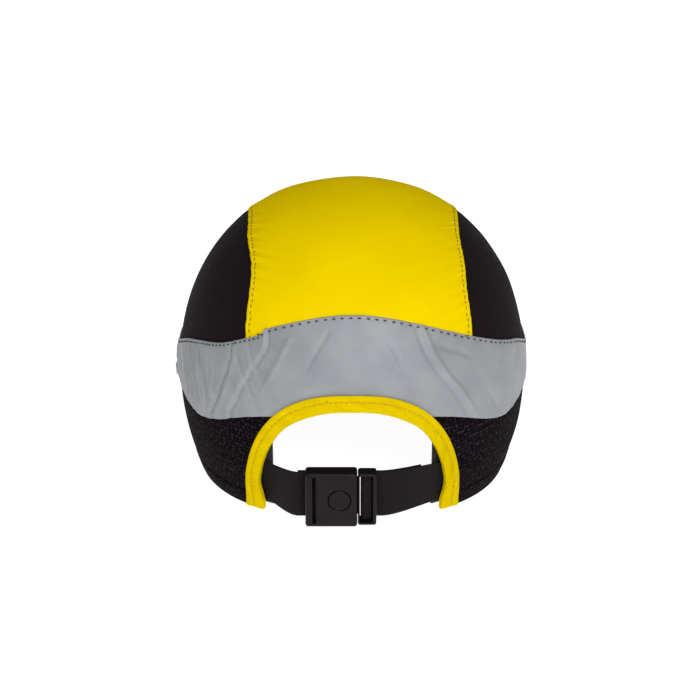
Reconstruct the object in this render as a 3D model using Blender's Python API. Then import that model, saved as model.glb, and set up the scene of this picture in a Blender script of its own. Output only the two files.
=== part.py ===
"""Bump cap: a fabric baseball-style cap over a hard shell, with an open rear arch and a strap closed by a push buckle.

All sizes are in millimetres and are turned into metres when a mesh is made. The rim lies on z = 0, the rear is +Y,
the peak points along -Y and the wearer's left is +X.
"""

import math

import bmesh
import bpy
import numpy as np

MM = 0.001

# Crown form: the outer face of the fabric panels
HALF_WIDTH = 94.0
REAR_REACH = 102.0
FRONT_REACH = 115.0
CROWN_HEIGHT = 148.0
WIDEST_HEIGHT = 50.3
PLAN_POWER = 2.12
RIM_POWER_GAIN = 0.16
PROFILE_POWER = 2.18
SIDE_TUCK = 0.11
REAR_TUCK = 0.108

# Seams and edges of the panels
SEAM_X = 57.0
FRONT_SEAM_Z = 102.0
PANEL_THICK = 1.0
SEAM_GAP = 0.4
BAND_TOP_REAR = 110.0
BAND_TOP_SIDE = 74.0
BAND_LOW_ARCH = 58.4
BAND_LOW_DIP = 44.5
BAND_LOW_SIDE = 50.0
BAND_SIDE_DROP = 8.0
BAND_LIFT = 0.55
BAND_THICK = 0.5

# Rear arch and the folded tape that binds it and the rim
ARCH_HALF_WIDTH = 46.2
ARCH_HEIGHT = 64.5
ARCH_POWER = 2.6
TAPE_WIDTH = 8.6
ARCH_TAPE_SIDE = 8.6
TAPE_THICK = 0.8
TAPE_CLEAR = 0.45
TAPE_OUT = TAPE_CLEAR
TAPE_IN = -PANEL_THICK - TAPE_CLEAR
EDGE_IN_FOLD = 1.25

# Peak
PEAK_SIDE_INSET = 18.0
PEAK_HALF_WIDTH = HALF_WIDTH - PEAK_SIDE_INSET
PEAK_REACH = 50.0
PEAK_END = 3.5
PEAK_CLEAR = 0.4
RIM_RISE = 14.0
PEAK_DROOP = 5.0
PEAK_LEVEL = 4.6
BOARD_THICK = 1.8
COVER_THICK = 0.8
PIPING_THICK = 0.7
LAYER_GAP = 0.3

# Hard shell, its vents and what holds it
SEAM_TAPE_WIDTH = 12.0
SEAM_TAPE_THICK = 0.5
SEAM_TAPE_CLEAR = 0.3
HOOK_TAB = 20.0
HOOK_TAB_THICK = 1.0
SHELL_CLEAR = 0.4
SHELL_OUT = TAPE_IN - HOOK_TAB_THICK - SHELL_CLEAR
SHELL_THICK = 2.0
SHELL_EDGE_SIDE = 30.0
VENT_WIDTH = 8.0
VENT_LENGTH = 26.0
VENT_LEVEL = 115.0

# Lining pieces
LINING_CLEAR = 0.9
BAND_IN_OUT = SHELL_OUT - SHELL_THICK - LINING_CLEAR
BAND_AT_RIM = TAPE_IN - TAPE_THICK - 0.4
SWEATBAND_THICK = 2.5
SWEATBAND_TOP = 46.0
SWEATBAND_SHOWS = 2.0
SWEATBAND_END_X = ARCH_HALF_WIDTH - SWEATBAND_SHOWS
PAD_CLEAR = 0.8
PAD_OUT = SHELL_OUT - SHELL_THICK - PAD_CLEAR
PAD_THICK = 5.0
PAD_RADIUS = 36.0
PAD_TALL = 41.0

# Strap and buckle
WEBBING_WIDTH = 25.0
WEBBING_THICK = 1.2
STRAP_SEWN = 5.5
STRAP_LEAVES = 1.5
STRAP_ANCHOR_X = ARCH_HALF_WIDTH + ARCH_TAPE_SIDE + STRAP_SEWN
WINDOW_CLEAR = 0.6
BUCKLE_RAIL = 1.9
WINDOW = 0.5 * WEBBING_WIDTH + WINDOW_CLEAR
BUCKLE_HALF_HEIGHT = WINDOW + BUCKLE_RAIL
BUCKLE_UNDER = 2.3
STRAP_MID_Z = BUCKLE_UNDER + BUCKLE_HALF_HEIGHT
BUCKLE_DEPTH = 10.0
BUTTON_X = 6.6
BUTTON_RADIUS = 5.5
WELL_CLEAR = 0.3
WELL_WALL = 0.65
STRAP_SIDE_CLEAR = 0.35
HIDDEN_SLOT_X = BUTTON_X + BUTTON_RADIUS + WELL_CLEAR + WELL_WALL
SLOT_WIDE = WEBBING_THICK + 2.0 * STRAP_SIDE_CLEAR
HIDDEN_BAR = 3.55
END_SLOT_X = HIDDEN_SLOT_X + SLOT_WIDE + HIDDEN_BAR
END_BAR = 3.6
BODY_LEFT = END_SLOT_X + SLOT_WIDE + END_BAR
BODY_MOUTH = -2.5
SOCKET_END_WALL = 1.75
SOCKET_EDGE_WALL = 4.4
TONGUE_CLEAR = 0.4
MOUTH_GAP = 0.3
PLUG_INNER_RAIL = 1.0
PLUG_BAR = 2.9
PLUG_OUTER_RAIL = 1.8
PLUG_INNER_SLOT_X = BODY_MOUTH - MOUTH_GAP - PLUG_INNER_RAIL
PLUG_SLOT_X = PLUG_INNER_SLOT_X - SLOT_WIDE - PLUG_BAR
PLUG_RIGHT = PLUG_SLOT_X - SLOT_WIDE - PLUG_OUTER_RAIL


# ---- the crown form ----

def sizes_at(z, y):
    """Half width, reach and plan power of the level section at height z."""
    low = np.clip((WIDEST_HEIGHT - z) / WIDEST_HEIGHT, 0.0, 1.0) ** 2
    half = HALF_WIDTH * (1.0 - SIDE_TUCK * low)
    reach = np.where(y > 0.0, REAR_REACH * (1.0 - REAR_TUCK * low), FRONT_REACH)
    return half, reach, PLAN_POWER + RIM_POWER_GAIN * low


def shrink_at(z):
    """How much the level section has closed in at height z: 1 up to the widest height and 0 at the top."""
    up = np.clip((z - WIDEST_HEIGHT) / (CROWN_HEIGHT - WIDEST_HEIGHT), 0.0, 1.0)
    return (1.0 - up ** PROFILE_POWER) ** (1.0 / PROFILE_POWER)


def form_value(p):
    """Below zero inside the form and above zero outside it."""
    half, reach, power = sizes_at(p[..., 2], p[..., 1])
    level = (np.abs(p[..., 0]) / half) ** power + (np.abs(p[..., 1]) / reach) ** power
    up = np.clip((p[..., 2] - WIDEST_HEIGHT) / (CROWN_HEIGHT - WIDEST_HEIGHT), 0.0, None)
    return level ** (PROFILE_POWER / power) + up ** PROFILE_POWER - 1.0


def on_ray(start, toward):
    """Where the ray from start along toward leaves the form."""
    near = np.zeros(toward.shape[:-1])
    far = np.full(toward.shape[:-1], 3.0 * (HALF_WIDTH + FRONT_REACH + CROWN_HEIGHT))
    unit = toward / np.linalg.norm(toward, axis=-1, keepdims=True)
    for _ in range(60):
        middle = 0.5 * (near + far)
        inside = form_value(start + unit * middle[..., None]) < 0.0
        near = np.where(inside, middle, near)
        far = np.where(inside, far, middle)
    return start + unit * near[..., None]


def outward(p):
    """Unit vector away from the form, level wherever the form tucks in, so that layers keep their heights there."""
    step = 0.05
    parts = []
    for axis in range(3):
        shift = np.zeros(3)
        shift[axis] = step
        parts.append(form_value(p + shift) - form_value(p - shift))
    normal = np.stack(parts, axis=-1)
    normal[..., 2] = np.where(p[..., 2] < WIDEST_HEIGHT, 0.0, np.clip(normal[..., 2], 0.0, None))
    return normal / np.linalg.norm(normal, axis=-1, keepdims=True)


def lift(p, distance):
    """Points moved away from the form by distance."""
    return p + outward(p) * np.asarray(distance)[..., None]


def at_angle(angle, z):
    """Point of the form at height z, where angle is 0 at the rear and a quarter turn at the wearer's left."""
    angle, z = np.broadcast_arrays(np.asarray(angle, float), np.asarray(z, float))
    half, reach, power = sizes_at(z, np.cos(angle))
    sine, cosine = np.sin(angle), np.cos(angle)
    scale = shrink_at(z) * (np.abs(sine) ** power + np.abs(cosine) ** power) ** (-1.0 / power)
    return np.stack([half * scale * sine, reach * scale * cosine, z], axis=-1)


def at_xz(x, z, side):
    """Point of the form at x and z, on the rear when side is 1 and on the front when it is -1."""
    x, z = np.broadcast_arrays(np.asarray(x, float), np.asarray(z, float))
    half, reach, power = sizes_at(z, np.full(z.shape, float(side)))
    left = np.clip(shrink_at(z) ** power - (np.abs(x) / half) ** power, 0.0, None)
    return np.stack([x, side * reach * left ** (1.0 / power), z], axis=-1)


def angle_of(p):
    """The angle that at_angle takes for a point of the form."""
    half, reach, _ = sizes_at(p[..., 2], p[..., 1])
    return np.arctan2(p[..., 0] / half, p[..., 1] / reach)


def over_top(x, turn):
    """Point of the form in the plane x, at an angle up from the rear about the level of the widest height."""
    x, turn = np.broadcast_arrays(np.asarray(x, float), np.asarray(turn, float))
    start = np.stack([x, np.zeros(x.shape), np.full(x.shape, WIDEST_HEIGHT)], axis=-1)
    return on_ray(start, np.stack([np.zeros(x.shape), np.cos(turn), np.sin(turn)], axis=-1))


def turn_of(p):
    """The angle that over_top takes for a point of the form."""
    turn = np.arctan2(p[..., 2] - WIDEST_HEIGHT, p[..., 1])
    return np.where(turn < -0.5 * math.pi, turn + 2.0 * math.pi, turn)


def smooth(value, low, high):
    """0 at low and 1 at high, with a smooth step between."""
    t = np.clip((value - low) / (high - low), 0.0, 1.0)
    return t * t * (3.0 - 2.0 * t)


def rim_height(x, y):
    """Height of the rim: it lies flat, but rises over the peak."""
    share = np.clip(np.abs(x) / PEAK_HALF_WIDTH, 0.0, 1.0)
    return np.where(y < 0.0, RIM_RISE * np.cos(0.5 * math.pi * share) ** 1.5, 0.0)


def resample(points, count):
    """The polyline through points, with count points evenly spread along it."""
    length = np.concatenate([[0.0], np.cumsum(np.linalg.norm(np.diff(points, axis=0), axis=1))])
    wanted = np.linspace(0.0, length[-1], count)
    return np.stack([np.interp(wanted, length, points[:, k]) for k in range(3)], axis=-1)


def patch(lower, upper, rows):
    """Grid on the form between two curves with as many points each."""
    share = np.linspace(0.0, 1.0, rows)[None, :, None]
    flat = lower[:, None, :] * (1.0 - share) + upper[:, None, :] * share
    centre = np.array([0.0, 0.0, WIDEST_HEIGHT])
    grid = on_ray(np.broadcast_to(centre, flat.shape), flat - centre)
    grid[:, 0] = lower
    grid[:, -1] = upper
    return grid


# ---- meshes and materials ----

def material(name, colour, roughness, metallic=0.0):
    made = bpy.data.materials.new(name)
    made.use_nodes = True
    shader = made.node_tree.nodes["Principled BSDF"]
    shader.inputs["Base Color"].default_value = (*colour, 1.0)
    shader.inputs["Roughness"].default_value = roughness
    shader.inputs["Metallic"].default_value = metallic
    made.diffuse_color = (*colour, 1.0)
    return made


def add_object(name, points, faces, look, place=(0.0, 0.0, 0.0), is_smooth=True):
    """Object made from points given from place, with doubled points merged and faces turned outward."""
    mesh = bpy.data.meshes.new(name)
    mesh.from_pydata((np.asarray(points).reshape(-1, 3) * MM).tolist(), [], faces)
    work = bmesh.new()
    work.from_mesh(mesh)
    bmesh.ops.remove_doubles(work, verts=work.verts, dist=1e-6)
    bmesh.ops.recalc_face_normals(work, faces=work.faces)
    for face in work.faces:
        face.smooth = is_smooth
    work.to_mesh(mesh)
    work.free()
    made = bpy.data.objects.new(name, mesh)
    made.location = [value * MM for value in place]
    made.parent = cap_root
    mesh.materials.append(look)
    bpy.context.scene.collection.objects.link(made)
    return made


def grid_faces(count_u, count_v, wrap_u=False, start=0, turned=False):
    faces = []
    for i in range(count_u if wrap_u else count_u - 1):
        for j in range(count_v - 1):
            a = start + i * count_v + j
            b = start + ((i + 1) % count_u) * count_v + j
            faces.append((a, a + 1, b + 1, b) if turned else (a, b, b + 1, a + 1))
    return faces


def slab(name, outer, inner, look, wrap=False):
    """Sheet with thickness between two grids of the same size."""
    count_u, count_v = outer.shape[:2]
    size = count_u * count_v
    faces = grid_faces(count_u, count_v, wrap)
    faces += grid_faces(count_u, count_v, wrap, size, True)
    for i in range(count_u if wrap else count_u - 1):
        for j in (0, count_v - 1):
            a = i * count_v + j
            b = ((i + 1) % count_u) * count_v + j
            faces.append((a, b, b + size, a + size))
    if not wrap:
        for j in range(count_v - 1):
            for i in (0, count_u - 1):
                a = i * count_v + j
                faces.append((a, a + 1, a + 1 + size, a + size))
    points = np.concatenate([outer.reshape(-1, 3), inner.reshape(-1, 3)])
    return add_object(name, points, faces, look)


def layer(name, grid, distance, thick, look, wrap=False):
    """Sheet that follows the form, with its outer face at distance from it."""
    return slab(name, lift(grid, distance), lift(grid, distance - thick), look, wrap)


def sweep(name, sections, look, wrap=False):
    """Closed section carried along a path: sections has one row of points for each place on the path."""
    count, around = sections.shape[:2]
    faces = []
    for i in range(count if wrap else count - 1):
        for j in range(around):
            a = i * around
            b = ((i + 1) % count) * around
            k = (j + 1) % around
            faces.append((a + j, b + j, b + k, a + k))
    if not wrap:
        faces.append(tuple(range(around)))
        faces.append(tuple((count - 1) * around + j for j in reversed(range(around))))
    return add_object(name, sections, faces, look)


def block(name, low, high, look, place, corner=0.0, steps=2):
    """Box between two corners, with rounded edges."""
    points = [(x, y, z) for x in (low[0], high[0]) for y in (low[1], high[1]) for z in (low[2], high[2])]
    faces = [(0, 1, 3, 2), (4, 6, 7, 5), (0, 4, 5, 1), (2, 3, 7, 6), (0, 2, 6, 4), (1, 5, 7, 3)]
    made = add_object(name, points, faces, look, place, False)
    if corner > 0.0:
        bevel = made.modifiers.new("rounding", "BEVEL")
        bevel.width = corner * MM
        bevel.segments = steps
        bevel.limit_method = "ANGLE"
    return made


def combine(made, other, operation):
    """Boolean with a helper that isn't shown itself."""
    change = made.modifiers.new(operation.lower() + "_" + other.name, "BOOLEAN")
    change.operation = operation
    change.solver = "EXACT"
    change.object = other
    other.hide_render = True
    other.display_type = "WIRE"


def lathe_y(name, profile, look, place, around=24):
    """Profile of (radius, y) turned about the Y axis."""
    turn = np.linspace(0.0, 2.0 * math.pi, around, endpoint=False)[:, None]
    radius = np.array([p[0] for p in profile])[None, :]
    level = np.array([p[1] for p in profile])[None, :] + 0.0 * turn
    grid = np.stack([radius * np.cos(turn), level, radius * np.sin(turn)], axis=-1)
    return add_object(name, grid, grid_faces(around, len(profile), True), look, place)


for old in list(bpy.data.objects):
    bpy.data.objects.remove(old, do_unlink=True)

yellow = material("yellow polyester", (0.87, 0.64, 0.0), 0.45)
silver = material("reflective fabric", (0.42, 0.43, 0.46), 0.35)
mesh_black = material("fine black mesh", (0.012, 0.012, 0.014), 0.85)
spacer_black = material("black spacer mesh", (0.018, 0.018, 0.02), 0.9)
webbing = material("black webbing", (0.016, 0.015, 0.017), 0.7)
plastic = material("black buckle plastic", (0.02, 0.018, 0.02), 0.35)
shell_look = material("black shell plastic", (0.03, 0.03, 0.033), 0.4)
foam = material("grey foam", (0.09, 0.09, 0.1), 0.95)
terry = material("black sweatband cloth", (0.02, 0.02, 0.022), 0.95)
tape_look = material("black tape", (0.03, 0.03, 0.03), 0.8)
label_look = material("white label cloth", (0.75, 0.75, 0.73), 0.7)
board_look = material("peak board", (0.3, 0.3, 0.3), 0.6)
steel = material("spring steel", (0.6, 0.6, 0.62), 0.3, 1.0)

cap_root = bpy.data.objects.new("cap_root", None)
bpy.context.scene.collection.objects.link(cap_root)


# ---- seam lines on the form ----

def band_middle(angle):
    """Height of the hidden seam under the reflective band."""
    side = np.where(np.abs(angle) < 0.5 * math.pi, np.sin(angle) ** 2, 1.0)
    rear = 0.5 * (BAND_TOP_REAR + ARCH_HEIGHT + TAPE_WIDTH)
    return rear + (0.5 * (BAND_TOP_SIDE + BAND_LOW_SIDE) - rear) * side


def band_top(angle):
    """Upper edge of the band: it falls toward the side, and a little more just before it."""
    side = np.where(np.abs(angle) < 0.5 * math.pi, np.sin(angle) ** 2, 1.0)
    drop = BAND_SIDE_DROP * smooth(np.degrees(np.abs(angle)), 66.0, 92.0)
    return BAND_TOP_REAR + (BAND_TOP_SIDE - BAND_TOP_REAR) * side - drop


def band_low(angle):
    """Lower edge of the band: it falls from the arch to a dip at the rear corner and rises again at the side."""
    turn = np.degrees(np.abs(angle))
    from_arch = (BAND_LOW_ARCH - BAND_LOW_DIP) * (1.0 - smooth(turn, 24.0, 58.0))
    return BAND_LOW_DIP + from_arch + (BAND_LOW_SIDE - BAND_LOW_DIP) * smooth(turn, 54.0, 80.0)


def meeting(x, side, height):
    """Where the plane x meets the line height(angle): found by stepping."""
    z = np.full(np.shape(x), float(height(0.6)))
    for _ in range(60):
        z = 0.5 * z + 0.5 * height(angle_of(at_xz(x, z, side)))
    return at_xz(x, z, side)


def arch_edge(beyond, across, part):
    """Point of the rear arch: beyond moves up and across moves sideways from the inner edge, part runs 0 to pi."""
    part = np.asarray(part, float)
    power = 2.0 / ARCH_POWER
    x = (ARCH_HALF_WIDTH + across) * np.sign(np.cos(part)) * np.abs(np.cos(part)) ** power
    z = (ARCH_HEIGHT + beyond) * np.abs(np.sin(part)) ** power
    return at_xz(x, z, 1)


def arch_parts(count, first=0.0, last=math.pi):
    """Values of part that spread points evenly along the arch."""
    fine = np.linspace(first, last, 2001)
    line = arch_edge(0.0, 0.0, fine)
    length = np.concatenate([[0.0], np.cumsum(np.linalg.norm(np.diff(line, axis=0), axis=1))])
    return np.interp(np.linspace(0.0, length[-1], count), length, fine)


# ---- fabric panels ----

def across_front(count):
    """Values of x between the two long seams, spaced by the form's turn, so closer where it turns away."""
    turn = math.asin(SEAM_X / HALF_WIDTH)
    return (SEAM_X - 0.5 * SEAM_GAP) * np.sin(np.linspace(-turn, turn, count)) / math.sin(turn)


def build_crown_panel():
    x = across_front(15)
    rear = meeting(x, 1, lambda angle: band_middle(angle) + 0.5 * SEAM_GAP)
    front = at_xz(x, FRONT_SEAM_Z + 0.5 * SEAM_GAP, -1)
    share = np.linspace(0.0, 1.0, 17)[None, :]
    turn = turn_of(rear)[:, None] * (1.0 - share) + turn_of(front)[:, None] * share
    layer("crown_panel", over_top(x[:, None], turn), 0.0, PANEL_THICK, yellow)


def build_front_panel():
    x = across_front(22)[:, None]
    low = rim_height(x, -1.0) + EDGE_IN_FOLD
    z = low + (FRONT_SEAM_Z - 0.5 * SEAM_GAP - low) * np.linspace(0.0, 1.0, 7)[None, :]
    layer("front_panel", at_xz(x, z, -1), 0.0, PANEL_THICK, yellow)


def build_side_panel(name, side):
    edge = side * (SEAM_X + 0.5 * SEAM_GAP)
    above = lambda angle: band_middle(angle) + 0.5 * SEAM_GAP
    rear, front = meeting(edge, 1, above), meeting(edge, -1, above)
    turn = np.linspace(turn_of(rear), turn_of(front), 19)
    upper = over_top(edge, turn)
    angle = np.linspace(angle_of(rear), angle_of(front), 19)
    lower = at_angle(angle, above(angle))
    lower[0] = upper[0] = rear
    lower[-1] = upper[-1] = front
    layer(name, patch(lower, upper, 6), 0.0, PANEL_THICK, mesh_black)


def build_lower_panel(name, side):
    below = lambda angle: band_middle(angle) - 0.5 * SEAM_GAP
    parts = arch_parts(10, 0.0, 0.5 * math.pi)[1:]
    arch = arch_edge(EDGE_IN_FOLD, EDGE_IN_FOLD, parts[::-1])
    arch[:, 0] = np.maximum(arch[:, 0], 0.5 * SEAM_GAP)
    arch = at_xz(arch[:, 0], arch[:, 2], 1)
    front_x = SEAM_X + 0.5 * SEAM_GAP
    foot = at_xz(ARCH_HALF_WIDTH + EDGE_IN_FOLD, EDGE_IN_FOLD, 1)
    front = at_xz(front_x, float(rim_height(front_x, -1.0)) + EDGE_IN_FOLD, -1)
    turn = np.linspace(angle_of(foot), angle_of(front), 18)
    rim = at_angle(turn, EDGE_IN_FOLD)
    rim = at_angle(turn, rim_height(rim[:, 0], rim[:, 1]) + EDGE_IN_FOLD)
    lower = np.concatenate([arch, rim])
    lower[-1] = front
    top_front = meeting(front_x, -1, below)
    top_rear = meeting(0.5 * SEAM_GAP, 1, below)
    over_leg = angle_of(foot) + 0.06
    angle = np.concatenate([
        np.linspace(angle_of(top_rear), over_leg, len(arch), endpoint=False),
        np.linspace(over_leg, angle_of(top_front), len(rim)),
    ])
    upper = at_angle(angle, below(angle))
    upper[0], upper[-1] = top_rear, top_front
    grid = patch(lower, upper, 7)
    grid[..., 0] *= side
    layer(name, grid, 0.0, PANEL_THICK, spacer_black)


def build_band():
    above_tape = 0.35
    low_angle = lambda angle: band_low(angle)
    parts = arch_parts(400, 0.0, 0.5 * math.pi)
    edge = arch_edge(TAPE_WIDTH + above_tape, ARCH_TAPE_SIDE + above_tape, parts)
    free = edge[:, 2] > band_low(angle_of(edge))
    arch = resample(edge[free][::-1], 11)
    arch = at_xz(arch[:, 0], arch[:, 2], 1)
    end_x = SEAM_X + 0.5 * SEAM_GAP
    front = meeting(end_x, -1, low_angle)
    angle = np.linspace(angle_of(arch[-1]), angle_of(front), 20)[1:]
    line = at_angle(angle, band_low(angle))
    line[-1] = front
    lower = np.concatenate([arch, line])
    top_front = meeting(end_x, -1, band_top)
    bend = angle_of(arch[-1]) + 0.03
    top = np.concatenate([np.linspace(0.0, bend, 11), np.linspace(bend, angle_of(top_front), 20)[1:]])
    upper = at_angle(top, band_top(top))
    upper[-1] = top_front
    half = patch(lower, upper, 5)
    other = half[:0:-1].copy()
    other[..., 0] *= -1.0
    layer("reflective_band", np.concatenate([other, half]), BAND_LIFT + BAND_THICK, BAND_THICK, silver)


# ---- folded tape on the arch and the rim ----

FOLD = [
    (TAPE_IN - TAPE_THICK, 0.0), (TAPE_OUT + TAPE_THICK, 0.0), (TAPE_OUT + TAPE_THICK, 1.0), (TAPE_OUT, 1.0),
    (TAPE_OUT, TAPE_THICK / TAPE_WIDTH), (TAPE_IN, TAPE_THICK / TAPE_WIDTH), (TAPE_IN, 1.0), (TAPE_IN - TAPE_THICK, 1.0),
]


def build_arch_binding():
    parts = arch_parts(31)
    rows = [
        lift(arch_edge(TAPE_WIDTH * share, ARCH_TAPE_SIDE * share, parts), np.full(parts.shape, distance))
        for distance, share in FOLD
    ]
    sweep("arch_binding", np.stack(rows, axis=1), yellow)


def build_rim_binding():
    start_x = ARCH_HALF_WIDTH + ARCH_TAPE_SIDE + 0.4
    share = np.linspace(0.0, 1.0, 61)
    rows = []
    for distance, height in FOLD:
        first = angle_of(at_xz(start_x, height * TAPE_WIDTH, 1))
        angle = first + share * (2.0 * math.pi - 2.0 * first)
        line = at_angle(angle, height * TAPE_WIDTH)
        line = at_angle(angle, height * TAPE_WIDTH + rim_height(line[:, 0], line[:, 1]))
        rows.append(lift(line, np.full(share.shape, distance)))
    sweep("rim_binding", np.stack(rows, axis=1), mesh_black)


def build_seam_tape(name, side):
    middle = side * SEAM_X
    x = (middle + np.linspace(-0.5, 0.5, 4) * SEAM_TAPE_WIDTH)[:, None]
    rear = at_xz(x, band_middle(0.5), 1)
    front = at_xz(x, rim_height(x, -1.0) + TAPE_WIDTH + 1.5, -1)
    share = np.linspace(0.0, 1.0, 21)[None, :]
    turn = turn_of(rear) * (1.0 - share) + turn_of(front) * share
    layer(name, over_top(x, turn), TAPE_IN - SEAM_TAPE_CLEAR, SEAM_TAPE_THICK, tape_look)


# ---- hard shell and lining ----

def shell_edge(angle):
    """Lower edge of the shell: low round the front and sides, and above the arch at the rear."""
    rear = 1.0 - smooth(np.degrees(np.abs((angle + math.pi) % (2.0 * math.pi) - math.pi)), 38.0, 78.0)
    return SHELL_EDGE_SIDE + (ARCH_HEIGHT + 1.5 - SHELL_EDGE_SIDE) * rear


def vent_cutter(name, angle):
    """Long round-ended hole that slopes over the crown."""
    centre = at_angle(angle, VENT_LEVEL)
    normal = outward(centre)
    along = np.cross(np.array([0.0, 0.0, 1.0]), normal)
    along = along / np.linalg.norm(along)
    up = np.cross(normal, along)
    turn = np.linspace(0.0, 2.0 * math.pi, 12, endpoint=False)
    straight = 0.5 * (VENT_LENGTH - VENT_WIDTH)
    reach_up = 0.5 * VENT_WIDTH * np.sin(turn) + np.where(np.sin(turn) >= -1e-9, straight, -straight)
    ring = centre + along * (0.5 * VENT_WIDTH * np.cos(turn))[:, None] + up * reach_up[:, None]
    sections = np.stack([ring - normal * 12.0, ring + normal * 3.0])
    return sweep(name, sections, shell_look)


def build_shell():
    angle = np.linspace(0.0, 2.0 * math.pi, 48, endpoint=False)[:, None]
    edge = shell_edge(angle)
    share = np.linspace(0.0, 1.0, 11)[None, :]
    low_up = np.clip((edge - WIDEST_HEIGHT) / (CROWN_HEIGHT - WIDEST_HEIGHT), -1.0, 1.0)
    first = np.arcsin(low_up)
    up = np.sin(first + (0.5 * math.pi - first) * share)
    grid = at_angle(angle, WIDEST_HEIGHT + (CROWN_HEIGHT - WIDEST_HEIGHT) * np.minimum(up, 1.0))
    top = np.array([0.0, 0.0, CROWN_HEIGHT])
    outer, inner = lift(grid, SHELL_OUT), lift(grid, SHELL_OUT - SHELL_THICK)
    outer[:, -1] = top + np.array([0.0, 0.0, SHELL_OUT])
    inner[:, -1] = top + np.array([0.0, 0.0, SHELL_OUT - SHELL_THICK])
    shell = slab("shell", outer, inner, shell_look, True)
    for number, degrees in enumerate((-150.0, -112.0, -68.0, -32.0, 32.0, 68.0, 112.0, 150.0)):
        combine(shell, vent_cutter("vent_cutter_" + str(number), math.radians(degrees)), "DIFFERENCE")


def local_patch(centre, wide, tall, count_u, count_v):
    """Grid on the form about one of its points, wide along the level and tall up the slope."""
    normal = outward(centre)
    level = np.cross(np.array([0.0, 0.0, 1.0]), normal)
    if np.linalg.norm(level) < 1e-3:
        level = np.array([1.0, 0.0, 0.0])
    level = level / np.linalg.norm(level)
    up = np.cross(normal, level)
    a = (np.linspace(-0.5, 0.5, count_u) * wide)[:, None, None]
    b = (np.linspace(-0.5, 0.5, count_v) * tall)[None, :, None]
    flat = centre + level * a + up * b
    middle = np.array([0.0, 0.0, WIDEST_HEIGHT])
    return on_ray(np.broadcast_to(middle, flat.shape), flat - middle)


def build_hook_tabs():
    places = {
        "front": (math.pi, 59.0), "rear": (0.0, 97.5), "left": (0.5 * math.pi, 77.0), "right": (-0.5 * math.pi, 77.0),
    }
    for where, (angle, level) in places.items():
        grid = local_patch(at_angle(angle, level), HOOK_TAB, HOOK_TAB, 3, 3)
        layer("hook_tab_" + where, grid, TAPE_IN, HOOK_TAB_THICK, tape_look)


def pad_from(name, first, last, low, high, count):
    """Foam pad between two angles and two heights, with its edges narrowed toward the head."""
    angle = np.radians(np.linspace(first, last, count))[:, None]
    z = np.linspace(low, high, 5)[None, :]
    outer = lift(at_angle(angle, z), PAD_OUT)
    ease = math.radians(2.5)
    tight = angle + ease * np.linspace(1.0, -1.0, count)[:, None]
    inner = lift(at_angle(tight, low + 2.5 + (z - low) * (high - low - 5.0) / (high - low)), PAD_OUT - PAD_THICK)
    slab(name, outer, inner, foam)


def build_pads():
    low = SWEATBAND_TOP + 5.0
    high = low + PAD_TALL
    pad_from("front_pad", 148.0, 212.0, low, high, 11)
    pad_from("side_pad_left", 62.0, 118.0, low, high, 11)
    pad_from("side_pad_right", -118.0, -62.0, low, high, 11)
    pad_from("rear_pad", -26.0, 26.0, ARCH_HEIGHT + 4.0, ARCH_HEIGHT + 34.0, 7)
    turn = np.linspace(0.0, 2.0 * math.pi, 20, endpoint=False)[:, None]
    radius = np.linspace(0.0, 1.0, 4)[None, :]
    centre = np.array([0.0, 0.0, WIDEST_HEIGHT])

    def disc(size, distance):
        flat = np.stack([
            size * radius * np.cos(turn), size * radius * np.sin(turn), np.full((20, 4), CROWN_HEIGHT),
        ], axis=-1)
        grid = lift(on_ray(np.broadcast_to(centre, flat.shape), flat - centre), distance)
        grid[:, 0] = grid[:, 0].mean(axis=0)
        return grid

    slab("crown_pad", disc(PAD_RADIUS, PAD_OUT), disc(PAD_RADIUS - 3.0, PAD_OUT - PAD_THICK), foam, True)


def lining_offset(p):
    """How far the sweatband lies inside the form: close at the rim, clear of the shell above and of the strap ends."""
    height = p[..., 2] - rim_height(p[..., 0], p[..., 1])
    rear = 1.0 - smooth(np.degrees(np.abs(angle_of(p))), 52.0, 72.0)
    return BAND_AT_RIM + (BAND_IN_OUT - BAND_AT_RIM) * np.maximum(smooth(height, 10.0, 15.0), rear)


def build_sweatband():
    share = np.linspace(0.0, 1.0, 49)
    heights = (0.8, 10.0, 12.5, 15.0, 25.0, 35.0, SWEATBAND_TOP)
    rows = []
    for height in heights:
        first = angle_of(at_xz(SWEATBAND_END_X, height, 1))
        angle = first + share * (2.0 * math.pi - 2.0 * first)
        line = at_angle(angle, height)
        rise = rim_height(line[:, 0], line[:, 1]) * (1.0 - height / SWEATBAND_TOP) ** 0.5
        rows.append(at_angle(angle, height + rise))
    grid = np.stack(rows, axis=1)
    offset = lining_offset(grid)
    slab("sweatband", lift(grid, offset), lift(grid, offset - SWEATBAND_THICK), terry)


def build_care_label():
    grid = local_patch(at_angle(math.radians(-58.0), 24.0), 22.0, 30.0, 4, 4)
    layer("care_label", grid, BAND_IN_OUT - SWEATBAND_THICK - LAYER_GAP, 0.5, label_look)


# ---- peak ----

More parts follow.
